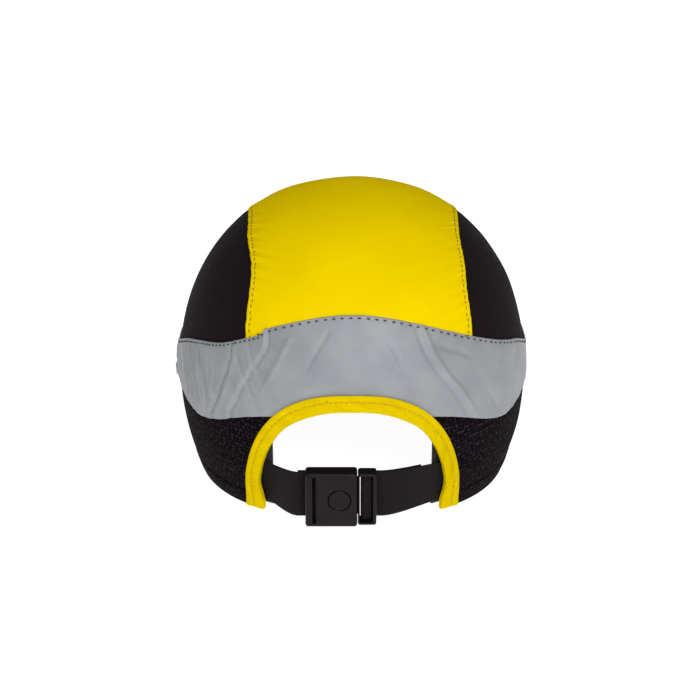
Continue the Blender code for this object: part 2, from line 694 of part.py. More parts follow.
def peak_sheet(inset, low, high, count_u=21, count_v=5):
    """Upper and lower grid of one peak layer; inset is the distance kept from the outline."""
    ends = 1.0 - inset / PEAK_HALF_WIDTH
    u = np.linspace(-ends, ends, count_u)
    x = PEAK_HALF_WIDTH * u
    crest = rim_height(x, -1.0) + PEAK_LEVEL
    inner = lift(at_xz(x, crest + 4.0, -1), np.full(x.shape, TAPE_OUT + TAPE_THICK + PEAK_CLEAR))
    reach = PEAK_REACH * (1.0 - np.abs(x / PEAK_HALF_WIDTH) ** 2.6) ** 0.8 + PEAK_END
    reach = np.maximum(reach - inset, 0.6)
    share = np.linspace(0.0, 1.0, count_v)[None, :]
    px = inner[:, 0][:, None] * (1.0 + 0.02 * share)
    py = inner[:, 1][:, None] - reach[:, None] * share
    droop = PEAK_DROOP * (reach[:, None] * share / PEAK_REACH) ** 1.3
    pz = crest[:, None] - droop
    return np.stack([px, py, pz + high], axis=-1), np.stack([px, py, pz + low], axis=-1)


def build_peak():
    half = 0.5 * BOARD_THICK
    cover = half + LAYER_GAP
    slab("peak_board", *peak_sheet(1.2, -half, half), board_look)
    slab("peak_cover_top", *peak_sheet(1.2, cover, cover + COVER_THICK), yellow)
    slab("peak_cover_under", *peak_sheet(1.2, -cover - COVER_THICK, -cover), mesh_black)
    top = cover + COVER_THICK + LAYER_GAP
    skin = top + PIPING_THICK
    section = [(0.0, -skin), (0.0, skin), (4.0, skin), (4.0, top), (0.8, top), (0.8, -top), (4.0, -top), (4.0, -skin)]
    rows = [peak_sheet(inset, 0.0, height, 35, 2)[0][:, 1] for inset, height in section]
    sweep("peak_piping", np.stack(rows, axis=1), yellow)


# ---- strap and buckle ----

BUCKLE_Y = float(at_xz(0.0, STRAP_MID_Z, 1)[1]) - 1.2
RUN_Y = 1.6
LOOP_Y = 6.1


def corner(points, radius, steps=3):
    """Polyline with its inner corners rounded."""
    points = [np.array(p, float) for p in points]
    line = [points[0]]
    for before, here, after in zip(points, points[1:], points[2:]):
        back = (before - here) / np.linalg.norm(before - here)
        on = (after - here) / np.linalg.norm(after - here)
        start, end = here + back * radius, here + on * radius
        for share in np.linspace(0.0, 1.0, steps + 1):
            bend = start * (1.0 - share) ** 2 + 2.0 * here * share * (1.0 - share) + end * share ** 2
            line.append(bend)
    line.append(points[-1])
    return np.array(line)


def ribbon(name, low, high):
    """Webbing between a lower and an upper edge line."""
    along = np.gradient(low + high, axis=0)
    normal = np.cross(along, high - low)
    normal = normal / np.linalg.norm(normal, axis=-1, keepdims=True) * 0.5 * WEBBING_THICK
    return sweep(name, np.stack([low - normal, low + normal, high + normal, high - normal], axis=1), webbing)


def strap_run(side, near_x):
    """Lower and upper edge of a strap from its sewn end inside the cap to near_x, where it lies flat in y."""
    half = 0.5 * WEBBING_WIDTH
    top_share = (STRAP_MID_Z + half) / ARCH_HEIGHT
    leaves = ARCH_HALF_WIDTH * (1.0 - top_share ** ARCH_POWER) ** (1.0 / ARCH_POWER) + STRAP_LEAVES
    edges = []
    for level in (STRAP_MID_Z - half, STRAP_MID_Z + half):
        x = np.linspace(STRAP_ANCHOR_X, leaves, 5)
        sewn = lift(at_xz(x, level, 1), np.full(x.shape, TAPE_IN - TAPE_THICK - 0.4 - 0.5 * WEBBING_THICK))
        start = sewn[-1]
        end = np.array([near_x, BUCKLE_Y + RUN_Y, level])
        reach = np.linalg.norm(end - start)
        lead = 0.4 * (sewn[-1] - sewn[-2]) / np.linalg.norm(sewn[-1] - sewn[-2]) + 0.6 * (end - start) / reach
        pull = 0.75 * reach
        t = np.linspace(0.0, 1.0, 8)[1:, None]
        free = (
            (2 * t ** 3 - 3 * t ** 2 + 1) * start + (t ** 3 - 2 * t ** 2 + t) * lead * pull
            + (3 * t ** 2 - 2 * t ** 3) * end + (t ** 3 - t ** 2) * np.array([-1.0, 0.0, 0.0]) * pull
        )
        free[:, 2] = level
        line = np.concatenate([sewn, free])
        line[:, 0] *= side
        edges.append(line)
    return edges


def with_loop(edges, loop):
    """Strap edges carried on through a loop given as (x, y) from the buckle's back."""
    half = 0.5 * WEBBING_WIDTH
    out = []
    for line, level in zip(edges, (STRAP_MID_Z - half, STRAP_MID_Z + half)):
        turn = np.column_stack([loop[:, 0], loop[:, 1] + BUCKLE_Y, np.full(len(loop), level)])
        out.append(np.concatenate([line, turn]))
    return out


def build_straps():
    # Left: behind the end bar, out through the slot, over the hidden bar and back under itself
    inner, outer, top = HIDDEN_SLOT_X + 0.5 * SLOT_WIDE, END_SLOT_X + 0.5 * SLOT_WIDE, LOOP_Y + 1.0
    loop = corner([(BODY_LEFT - 1.0, RUN_Y), (outer, RUN_Y), (outer, top), (inner, top), (inner, -0.45), (BODY_LEFT + 4.0, -0.45)], 0.95)
    ribbon("strap_left", *with_loop(strap_run(1.0, BODY_LEFT + 3.5), loop))
    # Right: behind the outer bar, out, over the bar, back in, and away behind the strap as a tail
    inner, outer = PLUG_INNER_SLOT_X - 0.5 * SLOT_WIDE, PLUG_SLOT_X - 0.5 * SLOT_WIDE
    loop = corner([(PLUG_RIGHT + 0.5, RUN_Y), (outer, RUN_Y), (outer, LOOP_Y), (inner, LOOP_Y), (inner, -0.15), (PLUG_RIGHT - 1.0, -0.15)], 0.9)
    edges = strap_run(-1.0, -PLUG_RIGHT + 2.0)
    edges[0][:, 0] = -np.abs(edges[0][:, 0])
    edges[1][:, 0] = -np.abs(edges[1][:, 0])
    made = with_loop(edges, loop)
    tails = []
    for line, run in zip(made, edges):
        back = run[::-1][:6]
        step = np.gradient(back, axis=0)[:, :2]
        step = step / np.linalg.norm(step, axis=-1, keepdims=True)
        tail = back.copy()
        tail[:, 0] += -step[:, 1] * 1.75
        tail[:, 1] += step[:, 0] * 1.75
        tails.append(np.concatenate([line, tail[1:]]))
    ribbon("strap_right", *tails)


def build_buckle():
    place = (0.0, BUCKLE_Y, STRAP_MID_Z)
    tall = BUCKLE_HALF_HEIGHT
    body = block("buckle_body", (BODY_MOUTH, 0.0, -tall), (BODY_LEFT, BUCKLE_DEPTH, tall), plastic, place, 1.4, 3)
    socket_end = HIDDEN_SLOT_X - SOCKET_END_WALL
    socket_half = tall - SOCKET_EDGE_WALL
    hidden_end, end_slot_end = HIDDEN_SLOT_X + SLOT_WIDE, END_SLOT_X + SLOT_WIDE
    cuts = {
        "socket": ((BODY_MOUTH - 3.0, 1.6, -socket_half), (socket_end, 4.2, socket_half)),
        "end_slot": ((END_SLOT_X, -2.0, -WINDOW), (end_slot_end, BUCKLE_DEPTH + 3.0, WINDOW)),
        "strap_way": ((END_SLOT_X - 0.5, -2.0, -WINDOW), (BODY_LEFT + 3.0, 2.9, WINDOW)),
        "loop_way": ((HIDDEN_SLOT_X, LOOP_Y, -WINDOW), (END_SLOT_X + 0.5, LOOP_Y + 1.95, WINDOW)),
        "inner_slot": ((HIDDEN_SLOT_X, -2.0, -WINDOW), (hidden_end, LOOP_Y + 0.5, WINDOW)),
        "back_relief": ((HIDDEN_SLOT_X - 0.35, -2.0, -WINDOW - 0.01), (BODY_LEFT + 3.0, 0.55, WINDOW + 0.01)),
    }
    for name, (low, high) in cuts.items():
        combine(body, block("cut_" + name, low, high, plastic, place), "DIFFERENCE")
    well_place = (BUTTON_X, BUCKLE_Y, STRAP_MID_Z)
    well_radius = BUTTON_RADIUS + WELL_CLEAR
    well = [(0.0, 4.9), (well_radius, 4.9), (well_radius, BUCKLE_DEPTH + 2.0), (0.0, BUCKLE_DEPTH + 2.0)]
    combine(body, lathe_y("cut_button_well", well, plastic, well_place), "DIFFERENCE")
    hole = [(0.0, 3.0), (1.8, 3.0), (1.8, 6.0), (0.0, 6.0)]
    combine(body, lathe_y("cut_stem_hole", hole, plastic, well_place, 12), "DIFFERENCE")

    face = BUCKLE_DEPTH + 0.2
    profile = [
        (0.0, 5.5), (1.4, 5.5), (1.4, 7.75), (BUTTON_RADIUS, 7.75), (BUTTON_RADIUS, face - 0.6),
        (BUTTON_RADIUS - 0.5, face), (BUTTON_RADIUS - 1.6, face - 0.15), (0.0, face - 0.35),
    ]
    lathe_y("buckle_button", profile, plastic, well_place)

    turns, wire, coil = 2.5, 0.22, 2.35
    turn = np.linspace(0.0, 2.0 * math.pi * turns, 26)
    centre = np.stack([coil * np.cos(turn), 5.35 + (7.5 - 5.35) * turn / turn[-1], coil * np.sin(turn)], axis=-1)
    radial = np.stack([np.cos(turn), np.zeros(26), np.sin(turn)], axis=-1)
    rows = []
    for around in np.linspace(0.0, 2.0 * math.pi, 5, endpoint=False):
        rows.append(centre + radial * wire * math.cos(around) + np.array([0.0, wire * math.sin(around), 0.0]))
    spring = sweep("button_spring", np.stack(rows, axis=1), steel)
    spring.location = [value * MM for value in well_place]

    plug_left = BODY_MOUTH - MOUTH_GAP
    plug = block("buckle_plug", (PLUG_RIGHT, 0.3, -tall + 0.5), (plug_left, BUCKLE_DEPTH - 1.0, tall - 0.5), plastic, place, 1.0, 2)
    tongue_half = socket_half - TONGUE_CLEAR
    tongue = block("join_tongue", (plug_left - 0.4, 1.9, -tongue_half), (socket_end - 2.0 * TONGUE_CLEAR, 3.9, tongue_half), plastic, place)
    combine(plug, tongue, "UNION")
    cuts = {
        "plug_slot": ((PLUG_SLOT_X - SLOT_WIDE, -2.0, -WINDOW), (PLUG_SLOT_X, BUCKLE_DEPTH + 1.0, WINDOW)),
        "plug_inner_slot": ((PLUG_INNER_SLOT_X - SLOT_WIDE, -2.0, -WINDOW), (PLUG_INNER_SLOT_X, BUCKLE_DEPTH + 1.0, WINDOW)),
        "plug_back": ((PLUG_RIGHT - 2.0, -2.0, -WINDOW + 0.01), (PLUG_SLOT_X - 0.2, 2.6, WINDOW - 0.01)),
        "plug_tail": ((PLUG_RIGHT - 2.0, -2.0, -WINDOW + 0.02), (PLUG_INNER_SLOT_X - 0.2, 0.8, WINDOW - 0.02)),
        "plug_front": ((PLUG_SLOT_X - 1.0, 5.2, -WINDOW + 0.03), (PLUG_INNER_SLOT_X - 0.6, BUCKLE_DEPTH + 2.0, WINDOW - 0.03)),
    }
    for name, (low, high) in cuts.items():
        combine(plug, block("cut_" + name, low, high, plastic, place), "DIFFERENCE")


build_crown_panel()
build_front_panel()
for side_name, side_sign in (("left", 1), ("right", -1)):
    build_side_panel("side_panel_" + side_name, side_sign)
    build_lower_panel("lower_panel_" + side_name, side_sign)
    build_seam_tape("seam_tape_" + side_name, side_sign)
build_band()
build_arch_binding()
build_rim_binding()
build_shell()
build_hook_tabs()
build_pads()
build_sweatband()
build_care_label()
build_peak()
build_straps()
build_buckle()

# The origin is below the middle of the whole cap
peak_front = -(FRONT_REACH + TAPE_OUT + TAPE_THICK + PEAK_CLEAR + PEAK_REACH + PEAK_END)
buckle_front = BUCKLE_Y + BUCKLE_DEPTH + 0.2
cap_root.location = (0.0, -0.5 * (peak_front + buckle_front) * MM, 0.0)
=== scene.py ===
import math

import bmesh
import bpy
import numpy as np
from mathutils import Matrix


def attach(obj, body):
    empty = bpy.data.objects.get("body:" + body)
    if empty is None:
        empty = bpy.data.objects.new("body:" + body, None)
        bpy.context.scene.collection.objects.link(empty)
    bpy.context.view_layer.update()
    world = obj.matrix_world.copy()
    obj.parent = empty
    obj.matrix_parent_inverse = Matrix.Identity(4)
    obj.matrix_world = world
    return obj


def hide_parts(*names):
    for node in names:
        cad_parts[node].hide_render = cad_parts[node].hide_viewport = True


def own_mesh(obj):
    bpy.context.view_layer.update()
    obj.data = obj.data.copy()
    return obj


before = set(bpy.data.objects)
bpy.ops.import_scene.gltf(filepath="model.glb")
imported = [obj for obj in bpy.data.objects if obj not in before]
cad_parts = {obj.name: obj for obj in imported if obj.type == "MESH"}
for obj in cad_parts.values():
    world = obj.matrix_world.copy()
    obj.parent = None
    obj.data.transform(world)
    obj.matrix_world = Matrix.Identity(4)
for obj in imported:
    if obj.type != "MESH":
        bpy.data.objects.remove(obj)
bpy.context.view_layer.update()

pi = math.pi
toMetres = 0.001  # every length below is in millimetres

# the crown's form
crownForm = {
    "halfWidth": 94.0, "rearReach": 102.0, "frontReach": 115.0, "height": 148.0, "widestAt": 50.3,
    "planPower": 2.12, "rimPowerGain": 0.16, "profilePower": 2.18, "sideTuck": 0.11, "rearTuck": 0.108,
}
rearShift = 31.946  # the form's own middle lies this far behind the object's origin
fromMiddle = np.array([0.0, rearShift, 0.0])
mergeWithin = 1e-7  # in metres
seamX = 57.0
seamLap, sideLap = 0.4, 0.6  # how far a panel goes past the seam, and how far a side stops short of it
rimClear = 1.3  # the panels stop this far from the rim and from the arch's edge
frontSeamZ = 102.0
arch = {"halfWidth": 46.2, "height": 64.5, "power": 2.6, "tapeUp": 8.6, "tapeSide": 8.6, "legBulge": 2.9}
bandLines = {"topRear": 110.0, "topSide": 74.0, "lowArch": 58.4, "lowDip": 44.5, "lowSide": 50.0,
    "sideDrop": 8.0}
peak = {"halfWidth": 76.0, "reach": 50.0, "end": 3.5, "rise": 14.0, "droop": 5.0, "level": 4.6, "clear": 1.65}


def levelSizes(z, y):
    # half width, reach and power of the level curve at height z; both sizes shrink with the square of the depth
    # below the widest
    low = np.clip((crownForm["widestAt"] - z) / crownForm["widestAt"], 0.0, 1.0) ** 2
    half = crownForm["halfWidth"] * (1.0 - crownForm["sideTuck"] * low)
    reach = np.where(y > 0.0, crownForm["rearReach"] * (1.0 - crownForm["rearTuck"] * low),
        crownForm["frontReach"])
    return half, reach, crownForm["planPower"] + crownForm["rimPowerGain"] * low


def upShare(z):
    # height above the widest level over the height left above it
    return (z - crownForm["widestAt"]) / (crownForm["height"] - crownForm["widestAt"])


def closeIn(z):
    # (1 - share^p)^(1/p), the share being the height above the widest level
    power = crownForm["profilePower"]
    return (1.0 - np.clip(upShare(z), 0.0, 1.0) ** power) ** (1.0 / power)


def formValue(p):
    # (|x/a|^m + |y/b|^m)^(n/m) + up^n - 1: below zero inside, above zero outside
    half, reach, power = levelSizes(p[..., 2], p[..., 1])
    level = (np.abs(p[..., 0]) / half) ** power + (np.abs(p[..., 1]) / reach) ** power
    return (level ** (crownForm["profilePower"] / power)
        + np.clip(upShare(p[..., 2]), 0.0, None) ** crownForm["profilePower"] - 1.0)


def madeOne(v):
    # divides by the length
    return v / np.linalg.norm(v, axis=-1, keepdims=True)


def onRay(start, toward):
    # halving a length along the ray until it ends on the form
    near = np.zeros(toward.shape[:-1])
    far = np.full(toward.shape[:-1], 400.0)
    unit = madeOne(toward)
    for _ in range(34):
        middle = 0.5 * (near + far)
        inside = formValue(start + unit * middle[..., None]) < 0.0
        near = np.where(inside, middle, near)
        far = np.where(inside, far, middle)
    return start + unit * near[..., None]


def thrown(flat):
    # points moved along rays from the form's middle until they lie on it
    centre = np.array([0.0, 0.0, crownForm["widestAt"]])
    return onRay(np.broadcast_to(centre, flat.shape), flat - centre)


def outward(p):
    # gradient of the form's value, kept level below the widest height, made one long
    steps = 0.05 * np.eye(3)
    normal = np.stack([formValue(p + s) - formValue(p - s) for s in steps], axis=-1)
    normal[..., 2] = np.where(p[..., 2] < crownForm["widestAt"], 0.0, np.clip(normal[..., 2], 0.0, None))
    return madeOne(normal)


def lift(p, distance):
    # moves each point outward by its distance
    return p + outward(p) * np.asarray(distance, float)[..., None]


def atAngle(angle, z):
    # point at height z; angle 0 is the rear and a quarter turn is the wearer's left
    angle, z = np.broadcast_arrays(np.asarray(angle, float), np.asarray(z, float))
    half, reach, power = levelSizes(z, np.cos(angle))
    sine, cosine = np.sin(angle), np.cos(angle)
    scale = closeIn(z) * (np.abs(sine) ** power + np.abs(cosine) ** power) ** (-1.0 / power)
    return np.stack([half * scale * sine, reach * scale * cosine, z], axis=-1)


def atXz(x, z, side):
    # point at x and z on the rear (side 1) or the front (side -1)
    x, z = np.broadcast_arrays(np.asarray(x, float), np.asarray(z, float))
    half, reach, power = levelSizes(z, np.full(z.shape, float(side)))
    left = np.clip(closeIn(z) ** power - (np.abs(x) / half) ** power, 0.0, None)
    return np.stack([x, side * reach * left ** (1.0 / power), z], axis=-1)


def angleOf(p):
    # arctangent of x over half width and y over reach
    half, reach, _ = levelSizes(p[..., 2], p[..., 1])
    return np.arctan2(p[..., 0] / half, p[..., 1] / reach)


def overTop(x, turn):
    # point in the plane x, at an angle up from the rear
    x, turn = np.broadcast_arrays(np.asarray(x, float), np.asarray(turn, float))
    start = np.stack([x, 0.0 * x, 0.0 * x + crownForm["widestAt"]], axis=-1)
    return onRay(start, np.stack([0.0 * x, np.cos(turn), np.sin(turn)], axis=-1))


def turnOf(p):
    # arctangent of height above the widest level and y, kept from falling below a quarter turn
    turn = np.arctan2(p[..., 2] - crownForm["widestAt"], p[..., 1])
    return np.where(turn < -0.5 * pi, turn + 2.0 * pi, turn)


def ease(value, low, high):
    # three times the square less twice the cube of the share between low and high
    t = np.clip((value - low) / (high - low), 0.0, 1.0)
    return t * t * (3.0 - 2.0 * t)


seamLines = {
    1: ((10.0, 55.5), (32.0, 54.1), (54.0, 51.7), (78.0, 55.0), (120.0, 57.0)),
    -1: ((10.0, -61.0), (32.0, -61.0), (54.0, -58.3), (78.0, -56.0), (120.0, -57.0)),
}


def seamAt(side, turn):
    # x of the long seam at a turn over the crown: smooth steps from each given place to the next
    places, turn = seamLines[side], np.degrees(turn)
    x = places[0][1] + 0.0 * turn
    for before, after in zip(places, places[1:]):
        x = x + (after[1] - before[1]) * ease(turn, before[0], after[0])
    return x


def rimHeight(x, y):
    # flat all round, and raised over the peak by a cosine to the power 1.5
    share = np.clip(np.abs(x) / peak["halfWidth"], 0.0, 1.0)
    return np.where(y < 0.0, peak["rise"] * np.clip(np.cos(0.5 * pi * share), 0.0, 1.0) ** 1.5, 0.0)


def patch(lower, upper, rows):
    # straight lines from one curve to the other, thrown out onto the form from its middle
    share = np.linspace(0.0, 1.0, rows)[None, :, None]
    flat = lower[:, None, :] * (1.0 - share) + upper[:, None, :] * share
    grid = thrown(flat)
    grid[:, 0], grid[:, -1] = lower, upper
    return grid


def bandMiddle(angle):
    # mean of the top and low lines at the rear, going to the mean at the side by the sine squared
    side = np.where(np.abs(angle) < 0.5 * pi, np.sin(angle) ** 2, 1.0)
    rear = 0.5 * (bandLines["topRear"] + arch["height"] + arch["tapeUp"])
    return rear + (0.5 * (bandLines["topSide"] + bandLines["lowSide"]) - rear) * side


def bandTop(angle):
    # from the rear height to the side height by the sine squared, less a drop at the side
    side = np.where(np.abs(angle) < 0.5 * pi, np.sin(angle) ** 2, 1.0)
    drop = bandLines["sideDrop"] * ease(np.degrees(np.abs(angle)), 66.0, 92.0)
    return bandLines["topRear"] + (bandLines["topSide"] - bandLines["topRear"]) * side - drop


def bandLow(angle):
    # falls from the arch to a dip at the rear corner and rises again at the side
    turn = np.degrees(np.abs(angle))
    fromArch = (bandLines["lowArch"] - bandLines["lowDip"]) * (1.0 - ease(turn, 24.0, 58.0))
    return (bandLines["lowDip"] + fromArch + (bandLines["lowSide"] - bandLines["lowDip"]) * ease(turn, 54.0,
        80.0))


def meeting(x, side, height):
    # where the plane x meets a line given by its height at each angle, by stepping towards it
    z = np.full(np.shape(x), float(height(0.6)))
    for _ in range(60):
        z = 0.5 * z + 0.5 * height(angleOf(atXz(x, z, side)))
    return atXz(x, z, side)


def archLine(up, across, part):
    # superellipse seen from behind, thrown onto the rear of the form
    part = np.asarray(part, float)
    x = (arch["halfWidth"] + across) * np.sign(np.cos(part)) * np.abs(np.cos(part)) ** (2.0 / arch["power"])
    z = (arch["height"] + up) * np.abs(np.sin(part)) ** (2.0 / arch["power"])
    return atXz(x, z, 1)


def archBulge(part):
    # the legs' inner edge stands a little further out between the foot and the corner
    z = arch["height"] * np.abs(np.sin(part)) ** (2.0 / arch["power"])
    return arch["legBulge"] * ease(z, 4.0, 20.0) * (1.0 - ease(z, 54.0, 64.0))


def lengthAlong(line, axis=0):
    # running length along one way of a grid
    step = np.linalg.norm(np.diff(line, axis=axis), axis=-1)
    start = np.zeros_like(np.take(step, [0], axis=axis))
    return np.concatenate([start, np.cumsum(step, axis=axis)], axis=axis)


def archParts(count, last=pi):
    # evenly spaced by length along the arch
    fine = np.linspace(0.0, last, 3001)
    length = lengthAlong(archLine(0.0, 0.0, fine))
    return np.interp(np.linspace(0.0, length[-1], count), length, fine)


def sampled(line, length, wanted):
    # the line's points at given lengths along it
    return np.stack([np.interp(wanted, length, line[:, k]) for k in range(3)], axis=-1)


def respace(line, count):
    # the same line with its points at even lengths
    length = lengthAlong(line)
    return sampled(line, length, np.linspace(0.0, length[-1], count))


def wander(t, seed, pitch):
    # six sine waves of unlike pitch added together: uneven gathers, about -1 to 1
    rng = np.random.default_rng(seed)
    total = 0.0
    for _ in range(6):
        total = (total + rng.uniform(0.5, 1.0) * np.sin(2.0 * pi * t / (pitch * rng.uniform(0.6, 1.8))
            + rng.uniform(0.0, 2.0 * pi)))
    return total / 3.0


def waves(a, b, seed, pitch):
    # nine flat waves in unlike directions added together: soft dents
    rng = np.random.default_rng(seed)
    total = 0.0
    for _ in range(9):
        way, size = rng.uniform(0.0, 2.0 * pi), pitch * rng.uniform(0.7, 1.6)
        total = (total + np.sin(2.0 * pi * (a * math.cos(way) + b * math.sin(way)) / size
            + rng.uniform(0.0, 2.0 * pi)))
    return total / 4.0


# putting surfaces into meshes
def rawMesh(name, points, faces):
    # points in millimetres about the form's middle
    mesh = bpy.data.meshes.new(name)
    mesh.from_pydata((np.asarray(points, float).reshape(-1, 3) + fromMiddle) * toMetres, [], faces)
    return mesh


def cleaned(mesh, merge=True):
    # points that fall together become one, and every face looks outward
    work = bmesh.new()
    work.from_mesh(mesh)
    if merge:
        bmesh.ops.remove_doubles(work, verts=work.verts, dist=mergeWithin)
    bmesh.ops.recalc_face_normals(work, faces=work.faces)
    work.to_mesh(mesh)
    work.free()
    return mesh


def linked(name, data):
    # an object of this data in the scene
    obj = bpy.data.objects.new(name, data)
    bpy.context.scene.collection.objects.link(obj)
    return obj


def putMesh(name, points, faces, look, body="cap", replaced=(), flow=None):
    # flow is the cloth's own length and width at each point, for its weave
    mesh = rawMesh(name, points, faces)
    if flow is not None:
        values = np.zeros((len(mesh.vertices), 3), np.float32)
        values[:, :2] = np.asarray(flow, float).reshape(-1, 2)
        mesh.attributes.new("cloth", "FLOAT_VECTOR", "POINT").data.foreach_set("vector", values.ravel())
    cleaned(mesh)
    mesh.polygons.foreach_set("use_smooth", [True] * len(mesh.polygons))
    mesh.materials.append(look)
    obj = linked(name, mesh)
    if replaced:
        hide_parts(*replaced)
    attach(obj, body)
    return obj


def gridFaces(countU, countV, wrapU=False, wrapV=False, start=0):
    # four-sided faces between neighbours of a grid, closed on itself where a way wraps
    i, j = np.meshgrid(np.arange(countU if wrapU else countU - 1), np.arange(countV if wrapV else countV - 1),
        indexing="ij")
    i, j = i.ravel(), j.ravel()
    ni, nj = (i + 1) % countU, (j + 1) % countV
    return np.stack([i * countV + j, ni * countV + j, ni * countV + nj, i * countV + nj], axis=-1) + start


def sheetFaces(countU, countV, wrapU=False, ends=(0, -1)):
    # the faces of two copies of a grid, the second turned over, and of the walls round their edges
    size = countU * countV
    number = np.arange(size).reshape(countU, countV)
    rows, cols = np.arange(countU if wrapU else countU - 1), np.arange(countV - 1)
    edges = [(number[rows, j], number[(rows + 1) % countU, j]) for j in ends]
    if not wrapU:
        edges += [(number[i, cols], number[i, cols + 1]) for i in (0, -1)]
    walls = [np.stack([a, b, b + size, a + size], axis=-1) for a, b in edges]
    sides = [gridFaces(countU, countV, wrapU), gridFaces(countU, countV, wrapU, start=size)[:, ::-1]]
    return np.concatenate(sides + walls).tolist()


def clothSheet(name, grid, top, bottom, look, replaced=(), wrapU=False, flow=None):
    # two copies of a grid lifted by top and bottom, and joined round the edge
    if flow is None:
        flow = np.stack([lengthAlong(grid, 0), lengthAlong(grid, 1)], axis=-1)
    points = np.concatenate([lift(grid, height).reshape(-1, 3) for height in (top, bottom)])
    flow = np.concatenate([flow.reshape(-1, 2)] * 2)
    return putMesh(name, points, sheetFaces(*grid.shape[:2], wrapU), look, "cap", replaced, flow)


def carried(name, sections, look, replaced=(), body="cap"):
    # a closed section carried along a path, with its two ends closed by flat faces
    count, around = sections.shape[:2]
    faces = gridFaces(count, around, False, True).tolist()
    faces.append(list(range(around)))
    faces.append([(count - 1) * around + j for j in reversed(range(around))])
    flow = np.stack([lengthAlong(sections, 0), lengthAlong(sections, 1)], axis=-1)
    return putMesh(name, sections, faces, look, body, replaced, flow)


def stitchRow(name, line, out, look, spec):
    # short beads along a line: each bead is a small sphere stretched along the line and flattened onto the
    # cloth
    length = lengthAlong(line)
    count = max(2, int(length[-1] / spec["pitch"]))
    at = (np.arange(count) + 0.5) * length[-1] / count
    rng = np.random.default_rng(spec.get("seed", 5))
    at = at + rng.uniform(-0.06, 0.06, count) * spec["pitch"]
    middle, normal = sampled(line, length, at), sampled(out, length, at)
    ahead = madeOne(sampled(np.gradient(line, axis=0), length, at))
    side = np.cross(ahead, normal)
    rings = 6
    lat = np.linspace(0.0, pi, rings)[:, None]
    lon = np.linspace(0.0, 2.0 * pi, rings, endpoint=False)[None, :]
    half, fat, flat = 0.5 * spec["long"], spec["thick"], spec["thick"] * 0.75
    a = half * np.cos(lat) * np.ones_like(lon)
    b = fat * np.sin(lat) ** 0.6 * np.cos(lon)
    c = flat * np.sin(lat) ** 0.6 * np.sin(lon) + 0.25 * flat
    bead = np.stack([a, b, c], axis=-1).reshape(-1, 3)
    stretch = rng.uniform(0.88, 1.1, count)[:, None, None]
    points = (middle[:, None, :] + ahead[:, None, :] * bead[None, :, 0:1] * stretch
        + side[:, None, :] * bead[None, :, 1:2] + normal[:, None, :] * bead[None, :, 2:3])
    one = gridFaces(rings, rings, False, True)
    faces = (one[None] + (np.arange(count) * rings ** 2)[:, None, None]).reshape(-1, 4)
    return putMesh(name, points, faces.tolist(), look)


# materials
def newLook(name, colour, roughness, **sockets):
    # a principled shader with its colour, roughness and other sockets set
    look = bpy.data.materials.new(name)
    look.use_nodes = True
    shader = look.node_tree.nodes["Principled BSDF"]
    shader.inputs["Base Color"].default_value = (*colour, 1.0)
    shader.inputs["Roughness"].default_value = roughness
    for key, value in sockets.items():
        shader.inputs[key.replace("_", " ")].default_value = value
    look.diffuse_color = (*colour, 1.0)
    return look, look.node_tree, shader


def addNode(tree, kind, inputs=None, **settings):
    # makes a node, sets it, and links or fills each input
    made = tree.nodes.new(kind)
    for key, value in settings.items():
        setattr(made, key, value)
    for key, value in (inputs or {}).items():
        if isinstance(value, bpy.types.NodeSocket):
            tree.links.new(value, made.inputs[key])
        else:
            made.inputs[key].default_value = value
    return made


def calc(tree, operation, a, b=0.0, c=0.0):
    # one sum, product or other operation on two or three values
    return addNode(tree, "ShaderNodeMath", {0: a, 1: b, 2: c}, operation=operation).outputs[0]


def clothPlace(tree):
    # the length and width stored at each point of the cloth
    return addNode(tree, "ShaderNodeAttribute", attribute_name="cloth").outputs["Vector"]


def objectPlace(tree):
    # position in the piece itself, in metres
    return addNode(tree, "ShaderNodeTexCoord").outputs["Object"]


def ridge(tree, place, way, pitch):
    # cosine along one direction of the cloth
    along = addNode(tree, "ShaderNodeVectorMath", {0: place, 1: way}, operation="DOT_PRODUCT").outputs["Value"]
    return calc(tree, "COSINE", calc(tree, "MULTIPLY", along, 2.0 * pi / pitch))


def noise(tree, place, scale, detail=2.0, rough=0.5):
    # soft random values from 0 to 1
    return addNode(tree, "ShaderNodeTexNoise", {"Vector": place, "Scale": scale, "Detail": detail,
        "Roughness": rough}).outputs["Fac"]


def ramp(tree, value, low, high, fromColour, toColour):
    # one colour below low, the other above high, and a straight mix between them
    made = addNode(tree, "ShaderNodeValToRGB", {"Fac": value})
    ends = made.color_ramp.elements
    ends[0].position, ends[1].position = low, high
    ends[0].color, ends[1].color = (*fromColour, 1.0), (*toColour, 1.0)
    return made.outputs["Color"]


def bump(tree, shader, height, distance, strength=1.0, before=None):
    # turns the shading by the slope of a height, given in millimetres
    inputs = {"Height": height, "Distance": distance * toMetres, "Strength": strength}
    if before is not None:
        inputs["Normal"] = before
    made = addNode(tree, "ShaderNodeBump", inputs).outputs["Normal"]
    tree.links.new(made, shader.inputs["Normal"])
    return made


